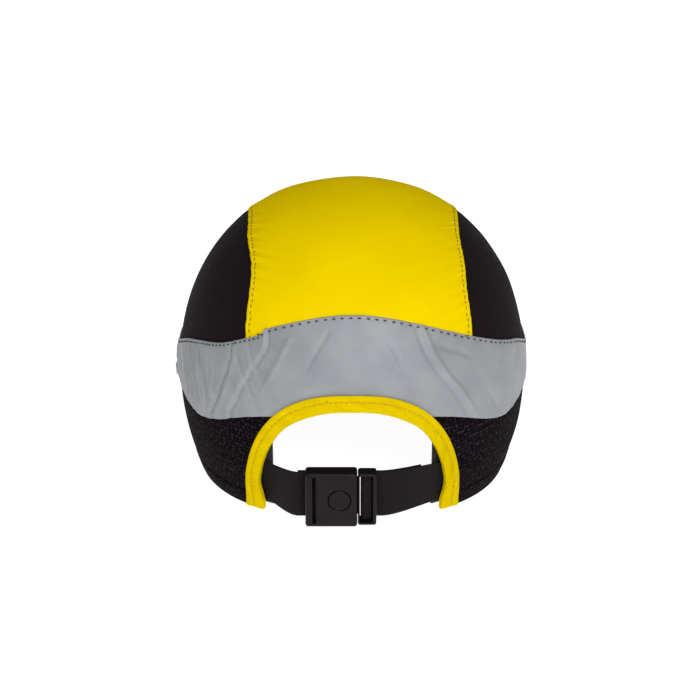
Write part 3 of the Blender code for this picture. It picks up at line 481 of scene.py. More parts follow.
def wovenLook(name, colours, pitch, depth, roughness, patch=0.03, **sockets):
    # plain weave: two crossed cosines multiplied, with uneven dye over it
    look, tree, shader = newLook(name, colours[1], roughness, **sockets)
    place = clothPlace(tree)
    warp = ridge(tree, place, (1.0, 0.0, 0.0), pitch)
    weft = ridge(tree, place, (0.0, 1.0, 0.0), pitch)
    weave = calc(tree, "MULTIPLY", warp, weft)
    cloud = noise(tree, place, patch, 3.0)
    fine = noise(tree, place, 1.4, 2.0)
    mixed = calc(tree, "ADD", calc(tree, "MULTIPLY", cloud, 0.75), calc(tree, "MULTIPLY", fine, 0.25))
    tree.links.new(ramp(tree, mixed, 0.33, 0.66, colours[0], colours[1]), shader.inputs["Base Color"])
    height = calc(tree, "ADD", weave, calc(tree, "MULTIPLY", fine, 0.8))
    bump(tree, shader, height, depth)
    return look


def netLook(name, thread, hole, pitch, depth, roughness, **sockets):
    # three cosines at 60 degrees make a net of round holes
    look, tree, shader = newLook(name, thread, roughness, **sockets)
    place = clothPlace(tree)
    cloud = addNode(tree, "ShaderNodeTexNoise", {"Vector": place, "Scale": 0.35,
        "Detail": 1.0}).outputs["Color"]
    sway = addNode(tree, "ShaderNodeVectorMath", {0: cloud, 1: (0.5 * pitch,) * 3},
        operation="MULTIPLY").outputs["Vector"]
    place = addNode(tree, "ShaderNodeVectorMath", {0: place, 1: sway}, operation="ADD").outputs["Vector"]
    ways = [(1.0, 0.0, 0.0), (0.5, 0.866, 0.0), (-0.5, 0.866, 0.0)]
    total = ridge(tree, place, ways[0], pitch)
    for way in ways[1:]:
        total = calc(tree, "ADD", total, ridge(tree, place, way, pitch))
    open_ = calc(tree, "SMOOTH_MAX", calc(tree, "MULTIPLY", total, 0.45), -0.25, 0.3)
    fine = noise(tree, place, 2.2, 2.0)
    tone = calc(tree, "ADD", calc(tree, "MULTIPLY", open_, -0.6), calc(tree, "MULTIPLY", fine, 0.9))
    tree.links.new(ramp(tree, tone, 0.1, 0.75, hole, thread), shader.inputs["Base Color"])
    bump(tree, shader, calc(tree, "SUBTRACT", calc(tree, "MULTIPLY", fine, 0.5), open_), depth)
    return look


def fleckLook(name, loop, hole):
    # raised loops: a noise stretched along the cloth's height, cut to its highest parts
    look, tree, shader = newLook(name, hole, 0.85, Specular_IOR_Level=0.04)
    place = addNode(tree, "ShaderNodeVectorMath", {0: clothPlace(tree), 1: (0.95, 0.55, 1.0)},
        operation="MULTIPLY").outputs["Vector"]
    loops = noise(tree, place, 0.85, 1.0, 0.4)
    rows = calc(tree, "MULTIPLY", ridge(tree, clothPlace(tree), (0.0, 1.0, 0.0), 2.1), 0.06)
    raised = calc(tree, "ADD", loops, rows)
    tree.links.new(ramp(tree, raised, 0.52, 0.72, hole, loop), shader.inputs["Base Color"])
    bump(tree, shader, raised, 1.1)
    return look


def makeLooks():
    # one material for each kind of cloth, thread, plastic, foam and steel
    looks = {}
    looks["yellow"] = wovenLook("hiVisPolyester", ((0.84, 0.605, 0.0), (0.89, 0.65, 0.0)), 0.42, 0.02, 0.6,
        Specular_IOR_Level=0.0)
    looks["tapeYellow"] = wovenLook("hiVisTape", ((0.64, 0.46, 0.0), (0.76, 0.56, 0.0)), 0.5, 0.03, 0.65, 0.12,
        Specular_IOR_Level=0.0)
    for key, name, colour, roughness in (
        ("threadAmber", "amberThread", (0.55, 0.33, 0.0), 0.6),
            ("threadOlive", "oliveThread", (0.20, 0.13, 0.0), 0.6),
        ("threadDark", "darkThread", (0.035, 0.035, 0.045), 0.6),
            ("threadYellow", "yellowThread", (0.80, 0.57, 0.0), 0.5),
    ):
        looks[key], _, _ = newLook(name, colour, roughness)
    looks["silver"] = wovenLook("reflectiveCloth", ((0.258, 0.268, 0.288), (0.318, 0.328, 0.348)), 0.38, 0.015,
        0.5, 0.06, Metallic=0.12, Specular_IOR_Level=0.35)
    looks["fineMesh"] = netLook("fineBlackMesh", (0.014, 0.0065, 0.010), (0.0015, 0.0006, 0.001), 0.95, 0.12,
        0.85, Specular_IOR_Level=0.12)
    looks["spacer"] = fleckLook("blackSpacerMesh", (0.030, 0.021, 0.027), (0.0030, 0.0013, 0.0026))
    looks["blackTape"] = wovenLook("blackTwill", ((0.010, 0.010, 0.012), (0.022, 0.021, 0.024)), 0.5, 0.03,
        0.75, Specular_IOR_Level=0.3)
    looks["webbing"] = wovenLook("blackWebbing", ((0.0075, 0.0055, 0.0065), (0.012, 0.0085, 0.010)), 0.5, 0.03,
        0.75, Specular_IOR_Level=0.12)
    looks["terry"] = netLook("blackTerry", (0.03, 0.03, 0.033), (0.005, 0.005, 0.006), 1.1, 0.3, 0.95,
        Specular_IOR_Level=0.1, Sheen_Weight=0.3)
    looks["hooks"] = netLook("blackHooks", (0.02, 0.02, 0.022), (0.003, 0.003, 0.004), 1.4, 0.35, 0.6)
    looks["label"] = wovenLook("whiteSatin", ((0.72, 0.72, 0.70), (0.80, 0.80, 0.78)), 0.3, 0.01, 0.5)

    def grained(name, colour, roughness, scale, depth, **sockets):
        # moulded surface: fine noise in its height and roughness over a slower change of colour
        look, tree, shader = newLook(name, colour, roughness, **sockets)
        place = objectPlace(tree)
        fine = noise(tree, place, scale, 3.0, 0.6)
        light = tuple(min(1.0, c * 1.4 + 0.001) for c in colour)
        tree.links.new(ramp(tree, noise(tree, place, 60.0, 2.0), 0.3, 0.7, colour, light),
            shader.inputs["Base Color"])
        rough = calc(tree, "ADD", calc(tree, "MULTIPLY", fine, 0.16), roughness - 0.08)
        tree.links.new(rough, shader.inputs["Roughness"])
        bump(tree, shader, fine, depth)
        return look

    looks["buckle"] = grained("blackAcetal", (0.006, 0.0035, 0.005), 0.46, 2600.0, 0.01,
        Specular_IOR_Level=0.16)
    looks["shell"] = grained("blackShell", (0.03, 0.03, 0.034), 0.45, 900.0, 0.03)
    looks["foam"] = grained("greyFoam", (0.075, 0.077, 0.085), 0.9, 1500.0, 0.12, Specular_IOR_Level=0.2)
    looks["board"] = grained("greyBoard", (0.25, 0.25, 0.25), 0.6, 800.0, 0.03)
    looks["steel"] = grained("springWire", (0.5, 0.5, 0.52), 0.3, 2000.0, 0.004, Metallic=1.0)
    return looks


looks = makeLooks()
print("materials ready:", len(looks))


# fabric panels
panelCloth = {"thick": 0.8, "yellowBase": 0.45, "meshBase": -0.05, "seamDepth": 0.75, "seamReach": 7.0,
    "seamPitch": 6.2, "looseness": 0.3}


def seamRelief(distance, along, seed, strength=1.0):
    # gathers that die away from the seam, a groove under the topstitch and a rolled edge
    gathers = (wander(along + 0.45 * distance, seed, panelCloth["seamPitch"])
        * np.exp(-distance / panelCloth["seamReach"]) * panelCloth["seamDepth"]
        * (1.0 - 0.75 * np.exp(-(distance / 1.6) ** 2)))
    groove = -0.22 * np.exp(-((distance - 2.3) / 0.7) ** 2)
    swell = 0.18 * np.exp(-((distance - 1.0) / 0.7) ** 2)
    edge = -0.55 * np.exp(-(distance / 0.55) ** 2)
    return strength * (gathers + groove + swell) + edge


def panelTop(grid, base, seams, seed):
    # base height, soft dents over the middle, and relief along each seam: seams is (edge, strength) with edge
    # u0, u1, v0 or v1
    lengthU, lengthV = lengthAlong(grid, 0), lengthAlong(grid, 1)
    distances = {"u0": lengthU, "u1": lengthU[-1:] - lengthU, "v0": lengthV, "v1": lengthV[:, -1:] - lengthV}
    nearest = np.minimum.reduce([distances[k] for k in distances])
    top = base + panelCloth["looseness"] * waves(lengthU, lengthV, seed, 46.0) * ease(nearest, 0.0, 22.0)
    for number, (edge, strength) in enumerate(seams):
        along = lengthV if edge[0] == "u" else lengthU
        top = top + seamRelief(distances[edge], along, seed + 7 * number + 1, strength)
    return top


def crownGrid():
    # from the middle of the band over the top to the front seam, between the two long seams
    x = np.linspace(-seamX - seamLap, seamX + seamLap, 150)
    rear = meeting(x, 1, bandMiddle)
    front = atXz(x, frontSeamZ, -1)
    share = np.linspace(0.0, 1.0, 220)[None, :]
    turn = turnOf(rear)[:, None] * (1.0 - share) + turnOf(front)[:, None] * share
    across = np.linspace(0.0, 1.0, len(x))[:, None]
    return overTop((seamAt(-1, turn) - seamLap) * (1.0 - across) + (seamAt(1, turn) + seamLap) * across, turn)


def buildCrown():
    # the yellow centre panel with a row of stitches down each long seam
    grid = crownGrid()
    top = panelTop(grid, panelCloth["yellowBase"], [("u0", 1.0), ("u1", 1.0), ("v1", 0.8)], 11)
    # lower where the band covers it
    above = grid[..., 2] - bandTop(angleOf(grid)) + bandStep(grid[..., 0])
    top = top - 0.75 * ((1.0 - ease(above, -3.0, 0.5)) * (grid[..., 1] > 0.0))
    obj = clothSheet("crownPanel", grid, top, top - panelCloth["thick"], looks["yellow"],
        ["crown_panel"])
    spec = {"pitch": 3.2, "long": 1.9, "thick": 0.3}
    for name, column in (("crownStitchesLeft", -4), ("crownStitchesRight", 3)):
        line, out = lift(grid[column], top[column] + 0.06), outward(grid[column])
        stitchRow(name, line, out, looks["threadOlive"], spec)


def buildFront():
    # the yellow panel from the rim over the peak up to the front seam
    x = np.linspace(-seamX - seamLap, seamX + seamLap, 96)[:, None]
    low = rimHeight(x, -1.0) + rimClear
    z = low + (frontSeamZ - 0.2 - low) * np.linspace(0.0, 1.0, 76)[None, :]
    grid = atXz(x, z, -1)
    top = panelTop(grid, panelCloth["yellowBase"], [("u0", 1.0), ("u1", 1.0), ("v1", 0.8)], 23)
    obj = clothSheet("frontPanel", grid, top, top - panelCloth["thick"], looks["yellow"],
        ["front_panel"])


def buildSide(name, side, node):
    # the mesh half moon between the long seam and the middle of the band
    edge = side * (seamX - sideLap)
    rear, front = meeting(edge, 1, bandMiddle), meeting(edge, -1, bandMiddle)
    turn = np.linspace(turnOf(rear), turnOf(front), 150)
    upper = overTop(seamAt(side, turn) - sideLap * side, turn)
    angle = np.linspace(angleOf(rear), angleOf(front), 150)
    lower = atAngle(angle, bandMiddle(angle))
    lower[0], lower[-1] = upper[0], upper[-1]
    grid = patch(lower, upper, 56)
    top = panelTop(grid, panelCloth["meshBase"], [("v1", 0.5)], 31 + side)
    flow = np.stack([grid[..., 1], lengthAlong(grid, 1)], axis=-1)
    obj = clothSheet(name, grid, top, top - panelCloth["thick"], looks["fineMesh"], [node],
        flow=flow)


def lowerGrid():
    # from the arch and the rim up to the middle of the band, front to rear
    parts = archParts(60, 0.5 * pi)[1:]
    rim = archLine(rimClear, rimClear + archBulge(parts[::-1]), parts[::-1])
    foot = atXz(arch["halfWidth"] + rimClear, rimClear, 1)
    front = atXz(seamX - sideLap, float(rimHeight(seamX, -1.0)) + rimClear, -1)
    turn = np.linspace(angleOf(foot), angleOf(front), 150)
    low = atAngle(turn, rimClear)
    low = atAngle(turn, rimHeight(low[:, 0], low[:, 1]) + rimClear)
    low[-1] = front
    lower = np.concatenate([rim, low])
    topFront = meeting(seamX - sideLap, -1, bandMiddle)
    overLeg = angleOf(foot) + 0.06
    angle = np.concatenate([np.linspace(0.0, overLeg, len(rim), endpoint=False),
        np.linspace(overLeg, angleOf(topFront), len(low))])
    upper = atAngle(angle, bandMiddle(angle))
    upper[-1] = topFront
    return patch(lower, upper, 60)


def buildLower(name, side, node):
    # the spacer mesh panel of one side, mirrored for the other
    grid = lowerGrid()
    grid[..., 0] *= side
    top = panelTop(grid, panelCloth["meshBase"], [("v0", 0.6)], 47 + side)
    flow = np.stack([97.0 * angleOf(grid), grid[..., 2]], axis=-1)
    obj = clothSheet(name, grid, top, top - panelCloth["thick"], looks["spacer"], [node],
        flow=flow)


# reflective band
band = {
    "top": 1.1, "under": 0.3, "least": 0.42, "step": 2.3, "tuckHeight": 1.5, "leftGather": 0.6, "stitchAt": 1.7,
    "tuck": ((43.0, 99.0), (43.3, 92.1), (50.4, 81.2), (56.4, 70.2), (62.9, 55.6)),
    # each crease: its line as (x, height), its depth and its width
    "creases": (
        (((61.3, 92.0), (61.7, 82.6), (68.2, 62.6), (72.6, 49.0)), -1.12, 1.6),
        (((59.0, 94.0), (59.3, 82.6), (65.5, 62.6), (69.9, 49.0)), 0.68, 1.8),
        (((77.2, 83.0), (76.0, 70.5), (74.7, 47.0)), -0.75, 1.0),
        (((73.1, 86.0), (71.4, 71.9), (72.8, 52.0)), 0.52, 1.3),
        (((81.3, 81.0), (80.1, 70.4), (77.4, 50.0)), 0.60, 0.9),
        (((87.1, 76.0), (85.7, 66.0), (82.2, 50.0)), -0.68, 0.8),
        (((-35.0, 104.0), (-36.1, 100.0), (-40.7, 89.4), (-47.9, 78.4), (-55.9, 67.7), (-63.5, 52.0)), 1.12,
            2.4),
        (((-31.5, 104.0), (-32.6, 100.0), (-37.2, 89.4), (-44.4, 78.4), (-52.4, 67.7), (-60.0, 52.0)), -0.45,
            2.2),
        (((-43.2, 93.0), (-52.1, 89.4), (-60.5, 84.0)), -0.90, 2.6),
        (((-22.0, 83.2), (-30.0, 81.0), (-38.0, 79.4)), -0.60, 2.2),
        (((-69.4, 65.0), (-73.5, 55.0), (-76.0, 47.8)), -0.68, 1.7),
        (((11.2, 103.6), (17.2, 94.4), (23.3, 83.7)), -0.52, 2.4),
        (((30.4, 100.0), (36.5, 87.7), (45.8, 70.3)), 0.68, 2.6),
        (((-16.3, 98.0), (-21.4, 93.2), (-24.9, 85.0)), -0.52, 2.2),
    ),
}


def bandStep(x):
    # beside the tuck the top edge sits a little lower
    return band["step"] * ease(x, 43.4, 45.0) * (1.0 - ease(x, 64.0, 82.0))


def creaseRelief(x, z, line, depth, width):
    # bell curve of the distance from a bent line, easing in and out at the line's ends
    line = np.array(line)
    steep = abs(line[-1, 1] - line[0, 1]) > abs(line[-1, 0] - line[0, 0])
    along, across, runs, sits = (z, x, line[:, 1], line[:, 0]) if steep else (x, z, line[:, 0], line[:, 1])
    order = np.argsort(runs)
    away = (across - np.interp(along, runs[order], sits[order])) / 0.62
    low, high = runs.min(), runs.max()
    fade = ease(along, low - 2.0, low + 5.0) * (1.0 - ease(along, high - 5.0, high + 2.0))
    return depth * fade * np.exp(-(away / width) ** 2)


def bandGrid():
    # from the arch tape and the low line up to the top line, half round and then mirrored
    parts = archParts(500, 0.5 * pi)
    edge = archLine(arch["tapeUp"] - 1.2, arch["tapeSide"] - 1.2, parts)
    free = edge[:, 2] > bandLow(angleOf(edge))
    inner = respace(edge[free][::-1], 110)
    inner = atXz(inner[:, 0], inner[:, 2], 1)
    front = meeting(seamX - 0.2, -1, bandLow)
    angle = np.linspace(angleOf(inner[-1]), angleOf(front), 260)[1:]
    line = atAngle(angle, bandLow(angle))
    lower = np.concatenate([inner, line])
    topFront = meeting(seamX - 0.2, -1, bandTop)
    bend = angleOf(inner[-1]) + 0.03
    turn = np.concatenate([np.linspace(0.0, bend, 110), np.linspace(bend, angleOf(topFront), 260)[1:]])
    upper = atAngle(turn, bandTop(turn))
    half = patch(lower, upper, 60)
    other = half[:0:-1].copy()
    other[..., 0] *= -1.0
    return np.concatenate([other, half])


def buildBand():
    # base height and soft waves, then creases, the tuck, the sewn edges and the dip under the tape
    grid = bandGrid()
    lowered = grid[..., 2] - bandStep(grid[..., 0]) * np.linspace(0.0, 1.0, grid.shape[1])[None, :] ** 3
    atRear = (grid[..., 1] > 20.0) & (bandStep(grid[..., 0]) > 0.0)
    grid = np.where(atRear[..., None], atXz(grid[..., 0], lowered, 1), grid)
    up = lengthAlong(grid, 1)
    down = up[:, -1:] - up  # distance below the top edge
    along = lengthAlong(grid, 0)
    along = along - along[len(grid) // 2]
    x = grid[..., 0]
    tall = down + up
    middle = np.sin(pi * np.clip(down / tall, 0.0, 1.0))
    z, isRear = grid[..., 2], ease(grid[..., 1], 0.0, 25.0)
    leftSide = ease(x, 40.0, 50.0) * isRear
    top = band["top"] + 0.12 * waves(along, down, 71, 30.0) * middle
    top = top + band["leftGather"] * leftSide * wander(along + 0.35 * down, 72, 7.0) * (0.35 + 0.65 * middle)
    top = (top + 0.2 * wander(along, 74, 8.0) * np.exp(-down / 6.0)
        + 0.12 * wander(along, 75, 6.0) * np.exp(-up / 5.0))
    for line, depth, width in band["creases"]:
        top = top + isRear * creaseRelief(x, z, line, depth, width)
    # the tuck: a sharp step where the cloth is folded over itself, with a shadowed groove beside it
    places = np.array(band["tuck"])[::-1]
    away = (x - np.interp(z, places[:, 1], places[:, 0])) * isRear + 60.0 * (isRear - 1.0)
    top = (top + band["tuckHeight"] * 0.5 * (1.0 + np.tanh(away / 0.35))
        * np.exp(-np.clip(away, 0.0, None) / 10.0))
    top = top - 0.55 * np.exp(-((away + 1.0) / 0.8) ** 2)
    # a rounded lower limit: half the sum of the height and the root of its square
    top = band["least"] + 0.5 * (top - band["least"] + np.sqrt((top - band["least"]) ** 2 + 0.02))
    groove = band["stitchAt"]
    top = top - 0.2 * np.exp(-((down - groove) / 0.5) ** 2) - 0.2 * np.exp(-(down / 0.4) ** 2)
    # beside the arch the band dips under the tape
    power = arch["power"]
    ring = ((np.abs(x) / (arch["halfWidth"] + arch["tapeSide"])) ** power
        + (z / (arch["height"] + arch["tapeUp"])) ** power) ** (1.0 / power)
    under = (1.0 - ease(60.0 * (ring - 1.0), 0.0, 4.5)) * isRear
    top = top * (1.0 - under) + 0.12 * under
    flow = np.stack([along, down], axis=-1)
    obj = clothSheet("reflectiveBand", grid, top, np.minimum(band["under"], top - 0.35), looks["silver"],
        ["reflective_band"], flow=flow)
    share = 1.0 - band["stitchAt"] / tall[:, 0]
    row = share * (grid.shape[1] - 1)
    low, part = np.floor(row).astype(int), (row % 1.0)[:, None]
    column = np.arange(len(grid))
    line = grid[column, low] * (1.0 - part) + grid[column, low + 1] * part
    sits = top[column, low] * (1.0 - part[:, 0]) + top[column, low + 1] * part[:, 0]
    far = grid[:, 0, 0] < 46.0
    for name, chosen, pitch, long in (("bandStitches", far, 4.3, 1.8), ("bandStitchesLeft", ~far, 3.0, 1.5)):
        stitchRow(name, lift(line, sits + 0.1)[chosen], outward(line)[chosen], looks["threadDark"],
            {"pitch": pitch, "long": long, "thick": 0.46})
    for number, (x, z, size) in enumerate(((45.6, 97.3, 1.0), (54.0, 93.6, 0.6), (59.0, 91.4, 0.55),
        (-57.5, 94.0, 0.5), (12.6, 70.0, 0.4))):
        knot = lift(atXz(x + np.linspace(-1.6, 1.6, 5) * size, z, 1), np.full(5, 1.25))
        stitchRow("threadKnot" + str(number), knot, outward(knot), looks["threadDark"],
            {"pitch": 0.85 * size, "long": 1.7 * size, "thick": 0.5 * size, "seed": number})


# folded tape on the arch and round the rim
binding = {"rimOut": 0.25, "rimIn": -1.6, "rimThick": 0.4, "rimTall": 9.0, "cut": 0.0205, "thick": 0.6,
    "outFace": 0.95, "inFace": -1.85, "rise": 0.5, "stitchShare": 0.6}


def foldSection(outFace, inFace, thick, count=34):
    # closed section of a tape folded over an edge: (distance from the form, share of the tape's width)
    rows = []
    outer = np.linspace(0.0, 1.0, count)
    bulge = 0.12 * np.sin(pi * outer ** 0.8)
    nose = np.linspace(-0.5 * pi, 0.5 * pi, 12)
    middle, half = 0.5 * (outFace + inFace), 0.5 * (outFace - inFace)
    for share, swell in zip(outer[::-1], bulge[::-1]):
        rows.append((outFace + swell * ease(share, 0.0, 0.2), share, 1.0))
    for turn in nose[::-1][1:-1]:
        rows.append((middle + half * math.sin(turn), -0.02 * math.cos(turn), 0.0))
    for share in outer:
        rows.append((inFace, share, 0.0))
    for share in outer[::-1][:-3]:
        rows.append((inFace + thick, share, 0.0))
    for share in outer[3:]:
        rows.append((outFace - thick, share, 0.0))
    return rows


def tapeLine(share, parts):
    # the arch's outline, a share of the tape's width outside it
    up, across = arch["tapeUp"] * share, arch["tapeSide"] * share
    return archLine(up, across + archBulge(parts) * (1.0 - 0.75 * share), parts)


def buildArchBinding():
    # the folded section carried along the arch, with gathers and a groove under its stitches
    parts = archParts(300)
    line = archLine(0.0, 0.0, parts)
    along = lengthAlong(line)
    rows = []
    for distance, share, outer in foldSection(binding["outFace"], binding["inFace"], binding["thick"]):
        # the fold's nose is rounded, so its first part dips inside the arch's line
        place = tapeLine(share, parts)
        ripple = 0.0
        if outer:
            across = share * arch["tapeUp"]
            ripple = 0.18 * wander(along + 0.7 * across, 81, 7.0) * math.sin(pi * min(1.0, 0.25 + 0.7 * share))
            ripple = ripple + 0.10 * wander(along, 82, 15.0) + binding["rise"] * float(ease(share, 0.5, 0.85))
            ripple = (ripple - 0.25 * math.exp(-((share - binding["stitchShare"]) / 0.07) ** 2)
                - 0.25 * math.exp(-((share - 1.0) / 0.05) ** 2))
        rows.append(lift(place, distance + ripple + 0.0 * along))
    tape = carried("archBinding", np.stack(rows, axis=1), looks["tapeYellow"],
        ["arch_binding"])
    place = tapeLine(binding["stitchShare"], parts)
    stitches = stitchRow("archStitches", lift(place, np.full(len(parts), binding["outFace"] + 0.1)),
        outward(place), looks["threadAmber"], {"pitch": 2.7, "long": 2.1, "thick": 0.24})


def buildRimBinding():
    # the folded section carried round the rim from one leg of the arch to the other
    startX = arch["halfWidth"] + arch["tapeSide"] - 0.6
    share = np.linspace(0.0, 1.0, 560)
    rows = []
    for distance, height, outer in foldSection(binding["rimOut"], binding["rimIn"], binding["rimThick"], 14):
        # the fold's nose stands 0.9 mm up, so that it clears the rim
        z = 0.9 + binding["rimTall"] * height if height <= -0.01 else binding["rimTall"] * max(height, 0.0)
        first = angleOf(atXz(startX, z, 1))
        angle = first + share * (2.0 * pi - 2.0 * first)
        line = atAngle(angle, z)
        line = atAngle(angle, z + rimHeight(line[:, 0], line[:, 1]))
        ripple = outer * 0.10 * wander(share * 560.0, 91, 9.0) * math.sin(pi * min(1.0, max(0.0, height)))
        rows.append(lift(line, distance + ripple + 0.0 * share))
    tape = carried("rimBinding", np.stack(rows, axis=1), looks["spacer"], ["rim_binding"])


buildCrown()
buildFront()
for sideName, sideSign in (("left", 1), ("right", -1)):
    buildSide("sidePanel" + sideName.title(), sideSign, "side_panel_" + sideName)
    buildLower("lowerPanel" + sideName.title(), sideSign, "lower_panel_" + sideName)
buildBand()
buildArchBinding()
buildRimBinding()
print("cloth ready")


# strap
strapCloth = {
    "half": 12.5, "thick": 1.2, "rib": 0.88, "ribDepth": 0.11, "step": 0.18, "anchor": 60.3, "midZ": 17.3,
        "leaves": 1.5, "sewnAt": -3.25, "runY": 1.6, "tailGap": 1.75,
    "left": {"nearX": 27.5, "bend": 0.95, "loop": ((23.0, 1.6), (19.45, 1.6), (19.45, 7.1), (14.0, 7.1),
        (14.0, -0.45), (28.0, -0.45))},
    "right": {"nearX": 14.3, "bend": 0.9, "loop": ((11.8, 1.6), (9.55, 1.6), (9.55, 6.1), (4.75, 6.1),
        (4.75, -0.15), (13.3, -0.15))},
    "cutX": 45.2, "travel": 22.0, "tailShare": 5.0 / 7.0,
}
buckleY = float(atXz(0.0, strapCloth["midZ"], 1)[1]) - 1.2


def bentPath(points, radius, steps=8):
    # straight lines with each inner corner replaced by a parabola of the given reach
    points = [np.array(p, float) for p in points]
    line = [points[0]]
    share = np.linspace(0.0, 1.0, steps)[:, None]
    for before, here, after in zip(points, points[1:], points[2:]):
        start = here + (before - here) / np.linalg.norm(before - here) * radius
        end = here + (after - here) / np.linalg.norm(after - here) * radius
        line.extend(start * (1.0 - share) ** 2 + 2.0 * here * share * (1.0 - share) + end * share ** 2)
    line.append(points[-1])
    return np.array(line)


def strapEdges(spec):
    # both edge lines of a strap: sewn inside the cap, a cubic in the air with given ends and directions, then
    # the loop round its bar
    half, topShare = strapCloth["half"], (strapCloth["midZ"] + strapCloth["half"]) / arch["height"]
    leaves = (arch["halfWidth"] * (1.0 - topShare ** arch["power"]) ** (1.0 / arch["power"])
        + strapCloth["leaves"])
    loop = bentPath(spec["loop"], spec["bend"])
    edges = []
    for level in (strapCloth["midZ"] - half, strapCloth["midZ"] + half):
        x = np.linspace(strapCloth["anchor"], leaves, 60)
        sewn = lift(atXz(x, level, 1), np.full(x.shape, strapCloth["sewnAt"]))
        start, end = sewn[-1], np.array([spec["nearX"], buckleY + strapCloth["runY"], level])
        reach = np.linalg.norm(end - start)
        lead = 0.4 * madeOne(sewn[-1] - sewn[-2]) + 0.6 * (end - start) / reach
        t = np.linspace(0.0, 1.0, 160)[1:, None]
        free = (2 * t ** 3 - 3 * t ** 2 + 1) * start + (t ** 3 - 2 * t ** 2 + t) * lead * 0.75 * reach
        free = (free + (3 * t ** 2 - 2 * t ** 3) * end
            + (t ** 3 - t ** 2) * np.array([-1.0, 0.0, 0.0]) * 0.75 * reach)
        free[:, 2] = level
        turn = np.column_stack([loop[:, 0], loop[:, 1] + buckleY, np.full(len(loop), level)])
        parts = [sewn, free, turn]
        if spec is strapCloth["right"]:
            # the tail goes back along the free part, a little inside it
            back = free[::-1][: int(160 * strapCloth["tailShare"])].copy()
            step = madeOne(np.gradient(back, axis=0)[:, :2])
            back[:, 0] += step[:, 1] * strapCloth["tailGap"]
            back[:, 1] -= step[:, 0] * strapCloth["tailGap"]
            parts.append(back[1:])
        edges.append(np.concatenate(parts))
    return edges


def webbingSections(edges):
    # cross ribs: the thickness follows a cosine of the length, and closes to nothing at the two selvedges
    middle = 0.5 * (edges[0] + edges[1])
    length = lengthAlong(middle)
    wanted = np.linspace(0.0, length[-1], int(length[-1] / strapCloth["step"]))
    low, high = (sampled(line, length, wanted) for line in edges)
    normal = madeOne(np.cross(np.gradient(low + high, axis=0), high - low))
    thick = (0.5 * strapCloth["thick"] - strapCloth["ribDepth"] * (0.5
        - 0.5 * np.cos(2.0 * pi * wanted / strapCloth["rib"])))
    across = np.array([0.0, 0.012, 0.04, 0.08, 0.3, 0.5, 0.7, 0.92, 0.96, 0.988, 1.0])
    height = np.array([0.0, 0.72, 0.98, 1.0, 1.0, 1.0, 1.0, 1.0, 0.98, 0.72, 0.0])
    across, height = np.concatenate([across, across[-2:0:-1]]), np.concatenate([height, -height[-2:0:-1]])
    flat = low[:, None, :] * (1.0 - across)[None, :, None] + high[:, None, :] * across[None, :, None]
    return flat + normal[:, None, :] * (thick[:, None] * height[None, :])[..., None]


def buildStraps():
    # the left strap in one piece and the right strap in four
    sections = webbingSections(strapEdges(strapCloth["left"]))
    carried("strapLeft", sections, looks["webbing"], ["strap_left"])
    # the right strap is cut in four: the sewn end, the free part, the tail, and the loop that goes with the
    # plug
    sections = webbingSections(strapEdges(strapCloth["right"]))
    sections[..., 0] *= -1.0
    x = sections[..., 0].mean(axis=1)
    leaves = int(np.argmax(x > -strapCloth["cutX"]))
    inLoop = np.flatnonzero(x > -strapCloth["right"]["nearX"])
    first, last = int(inLoop[0]), int(inLoop[-1])
    carried("strapRightSewn", sections[: leaves + 1], looks["webbing"], ["strap_right"])
    free = carried("strapRightFree", sections[leaves : first + 1], looks["webbing"])
    tail = carried("strapRightTail", sections[last:], looks["webbing"])
    carried("strapRightLoop", sections[first : last + 1], looks["webbing"], body="plug")
    for obj in (free, tail):
        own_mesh(obj)


# buckle
buckle = {
    "springFoot": 5.13, "springLong": 2.59, "buttonTravel": 1.3, "tall": 15.0, "deep": 10.0, "left": 24.0,
        "mouth": -2.5, "buttonX": 6.6, "buttonRadius": 5.5, "softEdge": 0.28,
    "bodyCuts": (
        ((-5.5, 1.6, -10.6), (11.3, 4.2, 10.6)), ((18.5, -2.0, -13.1), (20.4, 13.0, 13.1)),
            ((18.0, -2.0, -13.1), (27.0, 2.9, 13.1)),
        ((13.05, 6.1, -13.1), (19.0, 8.05, 13.1)), ((13.05, -2.0, -13.1), (14.95, 6.6, 13.1)),
            ((12.7, -2.0, -13.11), (27.0, 0.55, 13.11)),
    ),
    "plugCuts": (
        ((-10.5, -2.0, -13.1), (-8.6, 11.0, 13.1)), ((-5.7, -2.0, -13.1), (-3.8, 11.0, 13.1)),
            ((-14.3, -2.0, -13.09), (-8.8, 2.6, 13.09)),
        ((-14.3, -2.0, -13.08), (-4.0, 0.8, 13.08)), ((-9.6, 5.2, -13.07), (-4.4, 12.0, 13.07)),
    ),
}


def helperBox(low, high, rounding=0.0):
    # a box about the buckle, its edges rounded if asked
    x, y, z = (np.array([a, b]) for a, b in zip(low, high))
    corners = np.stack(np.meshgrid(x, y, z, indexing="ij"), axis=-1).reshape(-1, 3)
    corners = corners + np.array([0.0, buckleY, strapCloth["midZ"]])
    faces = [(0, 1, 3, 2), (4, 6, 7, 5), (0, 4, 5, 1), (2, 3, 7, 6), (0, 2, 6, 4), (1, 5, 7, 3)]
    obj = linked("helper", rawMesh("helper", corners, faces))
    if rounding:
        soft = obj.modifiers.new("rounding", "BEVEL")
        soft.width, soft.segments = rounding * toMetres, 6
    return obj


def latheY(profile, around=64):
    # profile of (radius, y) turned about the button's own axis
    turn = np.linspace(0.0, 2.0 * pi, around, endpoint=False)[:, None]
    profile = np.array(profile)
    grid = np.stack([profile[:, 0] * np.cos(turn), profile[:, 1] + 0.0 * turn, profile[:, 0] * np.sin(turn)],
        axis=-1)
    return grid + np.array([buckle["buttonX"], buckleY, strapCloth["midZ"]])


